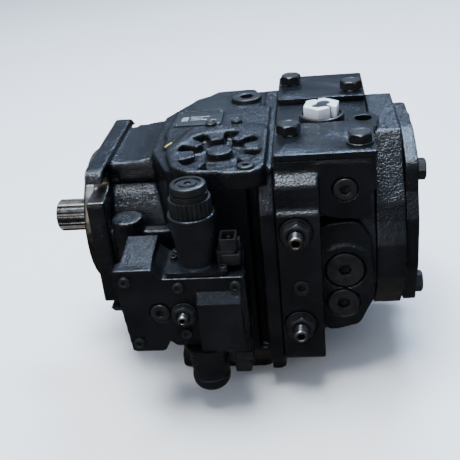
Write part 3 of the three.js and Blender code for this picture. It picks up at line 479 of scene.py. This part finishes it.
def casting(node, voxel, passes, ripple, crisp=(), bare=()):
    """A cast piece from its node's own shape, with filleted corners and a sand surface.

    crisp and bare are boxes. Surfaces in a crisp box keep their sharp form, and surfaces in a bare
    box also show the machined iron instead of paint. More passes make larger fillets.
    """
    rough = bpy.data.objects.new(f"rough_{node}", frame["nodes"][node].data.copy())
    bpy.context.scene.collection.objects.link(rough)
    weld = rough.modifiers.new("weld", "WELD")
    weld.merge_threshold = 0.01 * MM
    remesh = rough.modifiers.new("remesh", "REMESH")
    remesh.mode = "VOXEL"
    remesh.voxel_size = voxel * MM
    mesh = baked(rough)
    rough.modifiers.clear()
    rough.data = mesh

    machined = in_boxes(triples(mesh.vertices, "co"), (*crisp, *bare))
    group = rough.vertex_groups.new(name="cast")
    group.add([int(i) for i in np.flatnonzero(~machined)], 1.0, "REPLACE")

    smooth(rough, "edges", 1)
    smooth(rough, "fillets", passes).vertex_group = "cast"
    clouds = bpy.data.textures.new(f"sand_{node}", "CLOUDS")
    clouds.noise_scale = 7 * MM
    clouds.noise_depth = 2
    sand = rough.modifiers.new("sand", "DISPLACE")
    sand.texture = clouds
    sand.texture_coords = "LOCAL"
    sand.strength = ripple * MM
    sand.mid_level = 0.75
    sand.vertex_group = "cast"
    final = baked(rough)
    bpy.data.objects.remove(rough)

    final.materials.clear()
    for look in (ENAMEL, SMOOTH_ENAMEL, BARE_IRON):
        final.materials.append(look)
    centres = triples(final.polygons, "center")
    looks = np.zeros(len(centres), int)
    looks[in_boxes(centres, crisp)] = 1
    looks[in_boxes(centres, bare)] = 2
    final.polygons.foreach_set("material_index", looks)
    final.shade_smooth()
    final.name = f"cast_{node}"
    return stand_in(f"cast_{node}", final, None, node)


BOLT = 57.25  # half of the flange's bolt square
SLOT = 8.2  # half of a flange slot's width, with its edge
slots = [machined_box(-1, 17, *sorted((side * (BOLT - 9), side * 90)), BOLT - SLOT, BOLT + SLOT)
         for side in (-1, 1)]
FLANGE_FACE = machined_box(-14, 1.1)
DRAIN_SEAT = machined_box(114, 150, 52, 88, 81.5, 90)
DECK = machined_box(HOUSING_JOINT - 3, PAD_JOINT + 1, z0=DECK_TOP - 0.8)
CONTROL_PLATE = machined_box(30, 140, -154, -144.8)


def joint_face(joint, before, after):
    """The box round a face where two castings meet."""
    return machined_box(joint - before, joint + after)


casting("main_housing", voxel=1.3, passes=7, ripple=0.5,
        crisp=[joint_face(HOUSING_JOINT, 1.5, 1), DRAIN_SEAT], bare=[FLANGE_FACE, *slots])
casting("end_cap", voxel=1.2, passes=5, ripple=0.4,
        crisp=[joint_face(HOUSING_JOINT, 1, 1.8), joint_face(PAD_JOINT, 1.5, 1), DECK])
casting("charge_pump_housing", voxel=1.2, passes=6, ripple=0.7,
        crisp=[joint_face(PAD_JOINT, 1, 1.4), joint_face(COVER_JOINT, 1.6, 1)])
casting("auxiliary_pad_cover", voxel=1.0, passes=4, ripple=0.35,
        crisp=[joint_face(COVER_JOINT, 1, 1.2)])
casting("control_housing", voxel=0.9, passes=3, ripple=0.3,
        crisp=[CONTROL_PLATE])


# ------------------------------------------------------------------ port covers
PORT = {"x": 204.5, "y": 67.5, "long": 28.58, "wide": 13.88}
COVER = {"long": 40.5, "wide": 35, "thick": 5, "hole": 6.6, "spot": 11.2, "floor": 4.5}
COVER_EAR = {"u": 34.5, "v": 40, "radius": 13.4, "hole": 7.3, "foot": 12, "start": -16, "steps": 24}


def merged(name, meshes):
    """One mesh from several closed ones."""
    together = bmesh.new()
    for mesh in meshes:
        together.from_mesh(mesh)
    mesh = bpy.data.meshes.new(name)
    together.to_mesh(mesh)
    together.free()
    return mesh


def cover_outline(eared):
    """A rectangle with rounded corners, one of which may swell into a round ear."""
    outline = rounded_rectangle(-COVER["long"], COVER["long"], -COVER["wide"], COVER["wide"], 3)
    if not eared:
        return outline
    ear = COVER_EAR
    start = math.radians(ear["start"])
    end = math.pi + math.asin((ear["v"] - COVER["wide"]) / ear["radius"])
    swell = [(COVER["long"], ear["foot"])]
    for step in range(ear["steps"] + 1):
        angle = start + (end - start) * step / ear["steps"]
        swell.append((ear["u"] + ear["radius"] * math.cos(angle), ear["v"] + ear["radius"] * math.sin(angle)))
    return swell + [(u, v) for u, v in outline if u < 0 or v < 0]


def port_cover(node, side):
    """A cover plate with spot-faced bolt holes; the near one has an empty eye behind its rear bolt."""
    middle = at(PORT["x"], side * PORT["y"], DECK_TOP + GAP)
    holes = [circle(COVER_EAR["u"], COVER_EAR["v"], COVER_EAR["hole"])] if side < 0 else []
    spot_faces = []
    rim = COVER["spot"] + 0.2
    ring = [(0, COVER["hole"]), (0, rim), (COVER["floor"], rim), (COVER["floor"], COVER["hole"])]
    for end in (-1, 1):
        u, v = end * PORT["long"], -end * PORT["wide"]
        holes.append(circle(u, v, COVER["spot"]))
        spot_faces.append(turned_mesh("spot", ring, seat(middle + Vector((u, v, 0)) * MM), closed=True))
    plate = plate_mesh(node, [cover_outline(side < 0), *holes], 0, COVER["thick"], seat(middle), 0.35)
    stand_in(f"plate_{node}", merged(node, [plate, *spot_faces]), SMOOTH_ENAMEL, node)


port_cover("near_port_cover", -1)
port_cover("far_port_cover", 1)

COVER_WASHER = (11.0, 1.5)
PORT_BOLT = {"across": 18, "height": 9, "radius": 5.9, "length": 24}
PAD_BOLT = {"across": 17, "height": 7.5, "radius": 4.9, "length": 22}


def cover_bolts(kind, facing, bolt, turns, washered=()):
    """Bolts that each came to rest at a different turn, some of them on a washer."""
    for number, turn in enumerate(turns, 1):
        node = f"{kind}_bolt_{number}"
        rings = hex_bolt(**bolt, washer=COVER_WASHER if number in washered else None)
        place = seat_on(node, facing, bolt["height"], turn)
        stand_in(f"hex_{node}", turned_mesh(node, rings, place), FASTENER, node)


cover_bolts("port_cover", "+z", PORT_BOLT, (0.2, 0.55, 0.35, 0.9), washered=(2,))
cover_bolts("pad_cover", "+x", PAD_BOLT, (0.3, 0.1, 0.75, 0.5))


# ------------------------------------------------------------------ charge port cap
CHARGE_WASHER = {"bore": 13 + GAP, "seat": 17.3, "seat_height": 3.4, "radius": 20, "height": 6.2}
CHARGE_CAP = {"across": 29, "head": 10.5, "core": 10.5, "shade_fill_depth": 0.7, "stem": 12.7, "stem_length": 18}


def charge_washer():
    """A seal washer whose raised rim stands round the cap's head."""
    washer = CHARGE_WASHER
    radius = washer["radius"]
    height = washer["height"]
    foot = [(0, washer["bore"]), (0, radius - 1.2), (0.6, radius - 0.3), (1.4, radius)]
    rim = [(height - 1.4, radius), (height - 0.4, radius - 0.4), (height, radius - 1.2),
           (height, washer["seat"] + 0.4), (height - 0.4, washer["seat"])]
    cap_seat = [(washer["seat_height"], washer["seat"]), (washer["seat_height"], washer["bore"])]
    rings = foot + rim + cap_seat
    mesh = turned_mesh("washer", rings, seat_on("charge_port_washer", "+z", height), closed=True)
    stand_in("turned_charge_port_washer", mesh, FASTENER, "charge_port_washer")


def charge_cap():
    """A white hexagon head, split in front and notched behind, over a dark stem whose top fills the head's
    holes as painted shade.
    """
    cap = CHARGE_CAP
    head = cap["head"]
    corner = cap["across"] / math.sqrt(3)
    corners = [(corner * math.cos(TAU * i / 6), corner * math.sin(TAU * i / 6)) for i in range(6)]
    # the split runs in to the two core holes, which meet at the head's middle
    left_core = [(3.4, -13.1), (2.4, -8.0), (0.2, -7.2), (-5.4, -7.0), (-9.2, -3.4), (-8.2, 1.0), (-3.4, 2.4)]
    right_core = [(-1.4, 6.2), (3.2, 8.4), (7.8, 6.8), (9.4, 2.2), (6.8, -2.0), (3.8, -3.0), (4.6, -7.4),
                  (6.6, -11.8)]
    notch = [(2.4, 14.5), (0.9, 10.4), (-0.2, 14.5)]
    outline = corners[:2] + notch + corners[2:5] + left_core + right_core + [corners[5]]
    place = seat_on("charge_port_cap", "+z", head, 0.35)
    mesh = plate_mesh("cap", [outline], 0, head, place, 0.7)
    stand_in("moulded_charge_port_cap", mesh, WHITE, "charge_port_cap")
    end = -cap["stem_length"]
    top = head - cap["shade_fill_depth"]
    stem = [(end, 0), (end, cap["stem"] - 1), (end + 1, cap["stem"]), (-0.5, cap["stem"])]
    # the stem's top stands just under the head's top: a dark fill that paints the shade in the head's holes
    core = [(-0.5, cap["core"]), (top, cap["core"]), (top, 0)]
    mesh = turned_mesh("stem", stem + core, place)
    stand_in("moulded_charge_port_cap_stem", mesh, PLASTIC, "charge_port_cap")


charge_washer()
charge_cap()

# ------------------------------------------------------------------ screw plugs
# node: facing, radius, height above its seat, thread radius, length, socket
PLUGS = {
    "drain_plug": ("+z", 15, 4.5, 12, 16, 12),
    "pad_plug": ("+z", 7, 2.5, 4, 10, 5),
    "upper_relief_plug": ("-y", 9.5, 3, 8, 14, 8),
    "high_pressure_relief_plug": ("-y", 16, 3, 13, 14, 10),
    "lower_relief_plug": ("-y", 13.5, 3, 11, 14, 10),
    "gauge_plug": ("-y", 7, 2, 4, 12, 6),
    "control_plug": ("-y", 8, 2.5, 5.8, 9, 6),
}
for order, (node, (facing, radius, height, bore, length, across)) in enumerate(PLUGS.items()):
    rings = socket_plug(radius, height, bore, length, across)
    place = seat_on(node, facing, height, 0.37 * order)
    stand_in(f"turned_{node}", turned_mesh(node, rings, place), FASTENER, node)


# ------------------------------------------------------------------ adjusting screws and lock nuts
BRIGHT_TIP = 2.4
NUT_FLANGE = 1.5


def adjuster(node, radius, height, length, socket, nut_across, nut_height):
    """A stud with a dark thread and a bright tip round its socket, in a flanged lock nut."""
    place = seat_on(node, "-y", height)
    shoulder = height - BRIGHT_TIP
    rings = [(-length, 0), (-length, radius - 1), *threaded(radius, -length + 1, shoulder), (shoulder, 0)]
    stand_in(f"threaded_{node}", turned_mesh(node, rings, place, 48), FASTENER, node)
    tip = [(shoulder - 0.1, 0), (shoulder - 0.1, radius - 0.7), (height - 1.6, radius - 0.3),
           (height - 0.6, radius - 0.7), (height, radius - 1.7), (height, socket * 0.64),
           (height - 0.5, hexagon(socket)), (shoulder, hexagon(socket)), (shoulder, 0)]
    stand_in(f"tip_{node}", turned_mesh("tip", tip, place, 48), ZINC, node)
    nut = f"{node}_lock_nut"
    bore = radius + GAP
    face = nut_across * 0.62
    flange = [(0, bore), (0, face - 0.3), (0.3, face), (1.2, face), (NUT_FLANGE, face - 0.4)]
    mouth = [(nut_height, bore + 0.9), (nut_height - 0.9, bore)]
    rings = flange + hex_rings(nut_across, NUT_FLANGE, nut_height - NUT_FLANGE) + mouth
    place = seat_on(nut, "-y", nut_height, 0.4)
    stand_in(f"hex_{nut}", turned_mesh(nut, rings, place, closed=True), FASTENER, nut)


for node in ("upper_pressure_adjuster", "lower_pressure_adjuster"):
    adjuster(node, radius=6.3, height=20, length=24, socket=6, nut_across=21, nut_height=10)
adjuster("neutral_adjuster", radius=4.6, height=12, length=12, socket=4, nut_across=17, nut_height=6)

# ------------------------------------------------------------------ small screws and caps with no CAD node
CONTROL_FACE = -146
FOOT_FACE = 15 + GAP
CORE_SEAT = TOP_PAD - 0.8
SCREWS = {  # kind: facing, turn from each one to the next, profile, places
    "control_screw": ("-y", 0.3, cap_screw(4.6, 3.2, 4), [
        (41, CONTROL_FACE, 10), (84, CONTROL_FACE, 3), (45, CONTROL_FACE, -50), (86, CONTROL_FACE, -41),
        (130, CONTROL_FACE, 3)]),
    "solenoid_foot_screw": ("+z", 0.5, cap_screw(3.4, 3.4, 3), [
        (78.5, -122, FOOT_FACE), (80, -112, FOOT_FACE), (121, -140.6, FOOT_FACE)]),
    "core_plug": ("+z", 0.0, [(-1, 0), (-1, 5.2), (2.8, 5.2), (3.3, 4.7), (3.3, 4.0), (2.7, 3.4), (2.6, 0)], [
        (104, -3, CORE_SEAT), (127.5, 1, CORE_SEAT)]),
}
for kind, (facing, turn, rings, places) in SCREWS.items():
    for number, place in enumerate(places, 1):
        mesh = turned_mesh(kind, rings, seat(at(*place), facing, turn * number))
        add_piece(f"{kind}_{number}", mesh, FASTENER)


# ------------------------------------------------------------------ name plate, left blank
PLATE = {"thick": 0.8, "corner": 2, "rivet_inset": 2.8}


def name_plate():
    """A riveted plate whose printed fields are left empty."""
    low, high = (Vector(corner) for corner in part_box("name_plate"))
    middle = (low + high) / 2
    half_long = (high.x - low.x) / 2 / MM
    half_wide = (high.y - low.y) / 2 / MM
    foot = Vector((middle.x, middle.y, low.z))
    outline = rounded_rectangle(-half_long, half_long, -half_wide, half_wide, PLATE["corner"])
    plate = plate_mesh("plate", [outline], 0, PLATE["thick"], seat(foot), 0.2)
    stand_in("blank_name_plate", plate, LABEL, "name_plate")

    rivet_u = half_long - PLATE["rivet_inset"]
    rivet_v = half_wide - PLATE["rivet_inset"]
    rings = [(0.5, 0), (0.5, 1.5), (0.9, 1.4), (1.25, 0.9), (1.35, 0)]
    for number, (u, v) in enumerate(((-1, -1), (1, -1), (1, 1), (-1, 1)), 1):
        rivet = Vector((u * rivet_u, v * rivet_v, 0)) * MM
        mesh = turned_mesh("rivet", rings, seat(foot + rivet), 24)
        add_piece(f"name_plate_rivet_{number}", mesh, LABEL)

    fields = ((-16, -10, -8, 2), (-8, 8, -6.5, -5), (-8, 4, -2.5, -1), (-8, 10, 1.5, 3), (12, 17, -8, -6.5))
    print_low, print_high = PLATE["thick"] - 0.05, PLATE["thick"] + 0.15
    for number, (u0, u1, v0, v1) in enumerate(fields, 1):
        outline = rounded_rectangle(u0, u1, v0, v1, 0.4, 2)
        field = plate_mesh("field", [outline], print_low, print_high, seat(foot), 0.05)
        add_piece(f"name_plate_blank_field_{number}", field, WORN_WHITE)


name_plate()


def paint_mark():
    """An inspector's dash of yellow paint on the pad's edge."""
    outline = rounded_rectangle(-5.5, 5.5, -0.7, 0.7, 0.6, 4)
    place = seat(at(70.5, -42, TOP_PAD - 2), "+z", 1.15)
    stroke = plate_mesh("stroke", [outline], -0.3, 0.35, place, 0.15)
    add_piece("paint_mark", stroke, YELLOW)


paint_mark()

# ------------------------------------------------------------------ solenoids
CAN = {"base": 14.5, "radius": 19.5, "length": 50, "round_end": 1.5}
LOWER_CAN = {"base": 18, "radius": 16.5, "length": 47, "round_end": 11}
FOOT_OUTLINE = rounded_rectangle(-25, 26, -16.5, 19, 4)
PIN_HOLE = 2.95


def solenoid(node, facing, can, place):
    """A coil can that widens from its foot to a rounded end, with a hole for the override pin."""
    base, radius, length, round_end = can.values()
    shoulder = length - round_end
    collar = [(0, 0), (0, base + 1.3), (0.4, base + 1.5), (4.1, base + 1.5), (4.8, base + 1.1), (6, base)]
    bead = [(shoulder - 4.4, radius - 0.9), (shoulder - 3.8, radius - 0.8), (shoulder - 3.1, radius - 0.1)]
    arc = []
    for share in (0, 0.2, 0.4, 0.6, 0.8, 1.0):
        angle = share * math.pi / 2
        arc.append((length - round_end * (1 - math.sin(angle)), radius - round_end * (1 - math.cos(angle))))
    hole = [(length, 3.3), (length - 0.4, PIN_HOLE), (length - 12, PIN_HOLE), (length - 12, 0)]
    matrix = seat(place, facing)
    can_mesh = turned_mesh(node, collar + bead + arc + hole, matrix, 96)
    stand_in(f"can_{node}", can_mesh, SMOOTH_ENAMEL, node)
    if facing == "+z":
        foot = plate_mesh("foot", [FOOT_OUTLINE], 0, 4, matrix, 0.6)
        stand_in(f"foot_{node}", foot, SMOOTH_ENAMEL, node)


def knurl(inner, outer, teeth):
    """Ribs with rounded flanks."""
    return lambda angle, _: inner + (outer - inner) * abs(math.cos(angle * teeth / 2)) ** 0.7


NUT_HEIGHT = 24.5


def coil_nut():
    """A ribbed skirt under a grooved cap, with an oval track pressed round its middle."""
    ribs = knurl(15.6, 16.9, 26)
    skirt = [(0, PIN_HOLE), (0, ribs), (6, ribs), (12.4, ribs), (12.5, 15)]
    groove = [(16.8, 14.8), (17.2, 13.8), (18, 13.7), (18.5, 14.7)]
    cap = [(22.2, 14.5), (23.8, 13.9), (NUT_HEIGHT, 12.7)]
    track = [(NUT_HEIGHT, oval(10.6, 10)), (23, oval(10, 9.4)), (23, oval(7.6, 6.4)), (24.1, oval(7, 5.8)),
             (24.1, PIN_HOLE)]
    place = seat_on("upper_solenoid_nut", "+z", NUT_HEIGHT)
    mesh = turned_mesh("nut", skirt + groove + cap + track, place, 180, closed=True)
    stand_in("knurled_upper_solenoid_nut", mesh, PLASTIC, "upper_solenoid_nut")


def connector(node, facing, place):
    """A moulded plug socket: a body, a stepped shroud and a hollow mouth with two blades."""
    matrix = seat(place, facing)
    parts = (
        ("body", [rounded_rectangle(0, 15, -9, 9, 2)], 4.4, 18, 0.7),
        ("shroud", [rounded_rectangle(3, 19, -10.5, 10.5, 2)], 6, 15, 0.9),
        ("mouth", [rounded_rectangle(2.5, 16.5, -8.5, 8.5, 2), rounded_rectangle(4.5, 14.5, -6.5, 6.5, 1)],
         17.5, 28, 0.5),
        ("latch", [rounded_rectangle(16, 19, -3, 3, 1)], 14.5, 25, 0.5),
    )
    for part, outlines, low, high, bevel in parts:
        stand_in(f"{part}_{node}", plate_mesh(part, outlines, low, high, matrix, bevel), PLASTIC, node)
    for number, v in enumerate((-3, 3), 1):
        outline = rounded_rectangle(8.2, 10.8, v - 0.5, v + 0.5, 0.3, 2)
        blade = plate_mesh("blade", [outline], 17.7, 25, matrix, 0.1)
        add_piece(f"{node}_blade_{number}", blade, STEEL)


CONTROL = {"x": 99, "y": -128}
UPPER_CONNECTOR = CONTROL["x"] + 17 + GAP
LOWER_CONNECTOR = CONTROL["x"] + 20
UPPER_BASE = 11 + GAP
LOWER_BASE = -62 - GAP
OVERRIDE_PIN = 2.6
solenoid("upper_solenoid", "+z", CAN, at(CONTROL["x"], CONTROL["y"], UPPER_BASE))
solenoid("lower_solenoid", "-z", LOWER_CAN, at(CONTROL["x"], CONTROL["y"], LOWER_BASE))
coil_nut()
connector("upper_connector", "+z", at(UPPER_CONNECTOR, CONTROL["y"], UPPER_BASE))
connector("lower_connector", "-z", at(LOWER_CONNECTOR, CONTROL["y"], LOWER_BASE))
for node, facing in (("upper_override_pin", "+z"), ("lower_override_pin", "-z")):
    low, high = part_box(node)
    length = (high[2] - low[2]) / MM
    rings = [(0, 0), (0, OVERRIDE_PIN), (length - 0.8, OVERRIDE_PIN), (length - 0.3, OVERRIDE_PIN - 0.2),
             (length, OVERRIDE_PIN - 0.8), (length, 0)]
    stand_in(f"turned_{node}", turned_mesh(node, rings, seat_on(node, facing, length), 40), FASTENER, node)


# ------------------------------------------------------------------ drive shaft
SPLINE = {"teeth": 14, "tip": 15.6, "root": 13.2, "start": 24.5}


def tooth(angle, _):
    """A tooth with slanted flanks: flat tip, flat root."""
    phase = abs((angle * SPLINE["teeth"] / TAU) % 1.0 - 0.5) * 2
    share = min(1.0, max(0.0, (phase - 0.36) / 0.28))
    return SPLINE["root"] + (SPLINE["tip"] - SPLINE["root"]) * share


def limited_tooth(limit):
    """The tooth's profile, turned down to a limit as at the spline's bevelled ends."""
    return lambda angle, height: min(tooth(angle, height), limit)


def drive_shaft():
    start = SPLINE["start"]
    tip = SPLINE["tip"]
    rear_journal = [(-262, 0), (-262, 9.5), (-261.5, 10), (-184, 10)]
    block_spline = [(-184, 15), (-166, 15)]
    middle = [(-166, 16), (-28.4, 16)]
    front_journal = [(-28.4, 19.5), (-7, 19.5)]
    seal_land = [(-7, 17.6), (18.6, 17.6), (19.4, 17.2), (20.4, 16.2), (21.2, 13.4), (22, 13.1), (23.4, 13.1)]
    end = SHAFT_REACH
    teeth = [(start - 0.8, limited_tooth(13.6)), (start, limited_tooth(14.6)),
             (start + 1.2, limited_tooth(tip)),
             (40, tooth), (end - 2.0, limited_tooth(tip)), (end - 1.0, limited_tooth(14.5)),
             (end, limited_tooth(13.3))]
    centre_hole = [(end, 12.4), (end, 4.6), (end - 0.8, 4.0), (end - 3.5, 2.2), (end - 7, 2.0), (end - 8, 0)]
    rings = rear_journal + block_spline + middle + front_journal + seal_land + teeth + centre_hole
    mesh = turned_mesh("shaft", rings, seat(ORIGIN, "-x"), SPLINE["teeth"] * 20, sharp=28)
    stand_in("splined_drive_shaft", mesh, SHAFT_STEEL, "drive_shaft")


drive_shaft()


# ------------------------------------------------------------------ camera, floor and light
CAMERA = {"azimuth": 7.68, "elevation": 27.86, "roll": -6.05, "lens": 59.63, "eye": (199, -654, 324)}


def camera():
    """Looks at the control's side from above, level with the end cap."""
    azimuth, elevation, roll = (math.radians(CAMERA[angle]) for angle in ("azimuth", "elevation", "roll"))
    ahead = Vector((-math.sin(azimuth) * math.cos(elevation), math.cos(azimuth) * math.cos(elevation),
                    -math.sin(elevation)))
    level = ahead.cross(Vector((0, 0, 1))).normalized()
    upright = level.cross(ahead)
    right = level * math.cos(roll) + upright * math.sin(roll)
    up = upright * math.cos(roll) - level * math.sin(roll)
    data = bpy.data.cameras.new("camera")
    data.lens = CAMERA["lens"]
    data.sensor_width = 36
    eye = bpy.data.objects.new("camera", data)
    axes = Matrix((right, up, -ahead)).transposed().to_4x4()
    eye.matrix_world = Matrix.Translation(at(*CAMERA["eye"])) @ axes
    bpy.context.scene.collection.objects.link(eye)
    bpy.context.scene.camera = eye


FLOOR_REACH = 6  # metres each way
FLOOR_DROP = 0.0005  # just below the pump's foot


def floor():
    """A pale floor, far larger than the pump."""
    mesh_data = bmesh.new()
    bmesh.ops.create_grid(mesh_data, x_segments=1, y_segments=1, size=FLOOR_REACH)
    mesh = bpy.data.meshes.new("floor")
    mesh_data.to_mesh(mesh)
    mesh_data.free()
    look = Look("pale_floor")
    colour = look.ramp(look.noise(400, 2.0), (0.3, (0.96, 0.91, 0.86)), (0.7, (0.98, 0.94, 0.89)))
    roughness = look.ramp(look.noise(300, 2.0), (0.3, 0.8), (0.7, 0.9))
    mesh.materials.append(look.finish(colour, roughness))
    ground = bpy.data.objects.new("floor", mesh)
    ground.location.z = -FLOOR_DROP
    ground.visible_glossy = False
    bpy.context.scene.collection.objects.link(ground)


HORIZON = (0.060, 0.054, 0.046, 1)
ZENITH = (0.44, 0.56, 0.78, 1)
TARGET = (0, 0, 0.12)  # the pump's middle, which every lamp faces


def area_light(name, place, size, power, colour):
    data = bpy.data.lights.new(name, "AREA")
    data.shape = "RECTANGLE"
    data.size, data.size_y = size
    data.energy = power
    data.color = colour
    lamp = bpy.data.objects.new(name, data)
    lamp.location = place
    lamp.rotation_euler = (Vector(TARGET) - Vector(place)).to_track_quat("-Z", "Y").to_euler()
    bpy.context.scene.collection.objects.link(lamp)


def light():
    """A sky that is dark at the horizon, and three lamps."""
    world = bpy.data.worlds.new("studio")
    world.use_nodes = True
    nodes = world.node_tree.nodes
    links = world.node_tree.links
    direction = nodes.new("ShaderNodeTexCoord").outputs["Generated"]
    split = nodes.new("ShaderNodeSeparateXYZ")
    links.new(direction, split.inputs[0])
    sky = nodes.new("ShaderNodeValToRGB")
    links.new(split.outputs[2], sky.inputs[0])
    for element, position, colour in zip(sky.color_ramp.elements, (0.02, 0.6), (HORIZON, ZENITH)):
        element.position = position
        element.color = colour
    links.new(sky.outputs[0], nodes["Background"].inputs[0])
    nodes["Background"].inputs[1].default_value = 1.0
    bpy.context.scene.world = world
    area_light("back_window", (0.35, 1.25, 1.9), (0.8, 0.35), 60, (0.50, 0.70, 1.0))
    area_light("overhead", (-0.2, -0.1, 2.1), (1.3, 0.9), 100, (0.80, 0.90, 1.0))
    area_light("front_fill", (-0.9, -1.9, 0.9), (1.2, 0.6), 8, (1.0, 0.94, 0.86))


camera()
floor()
light()
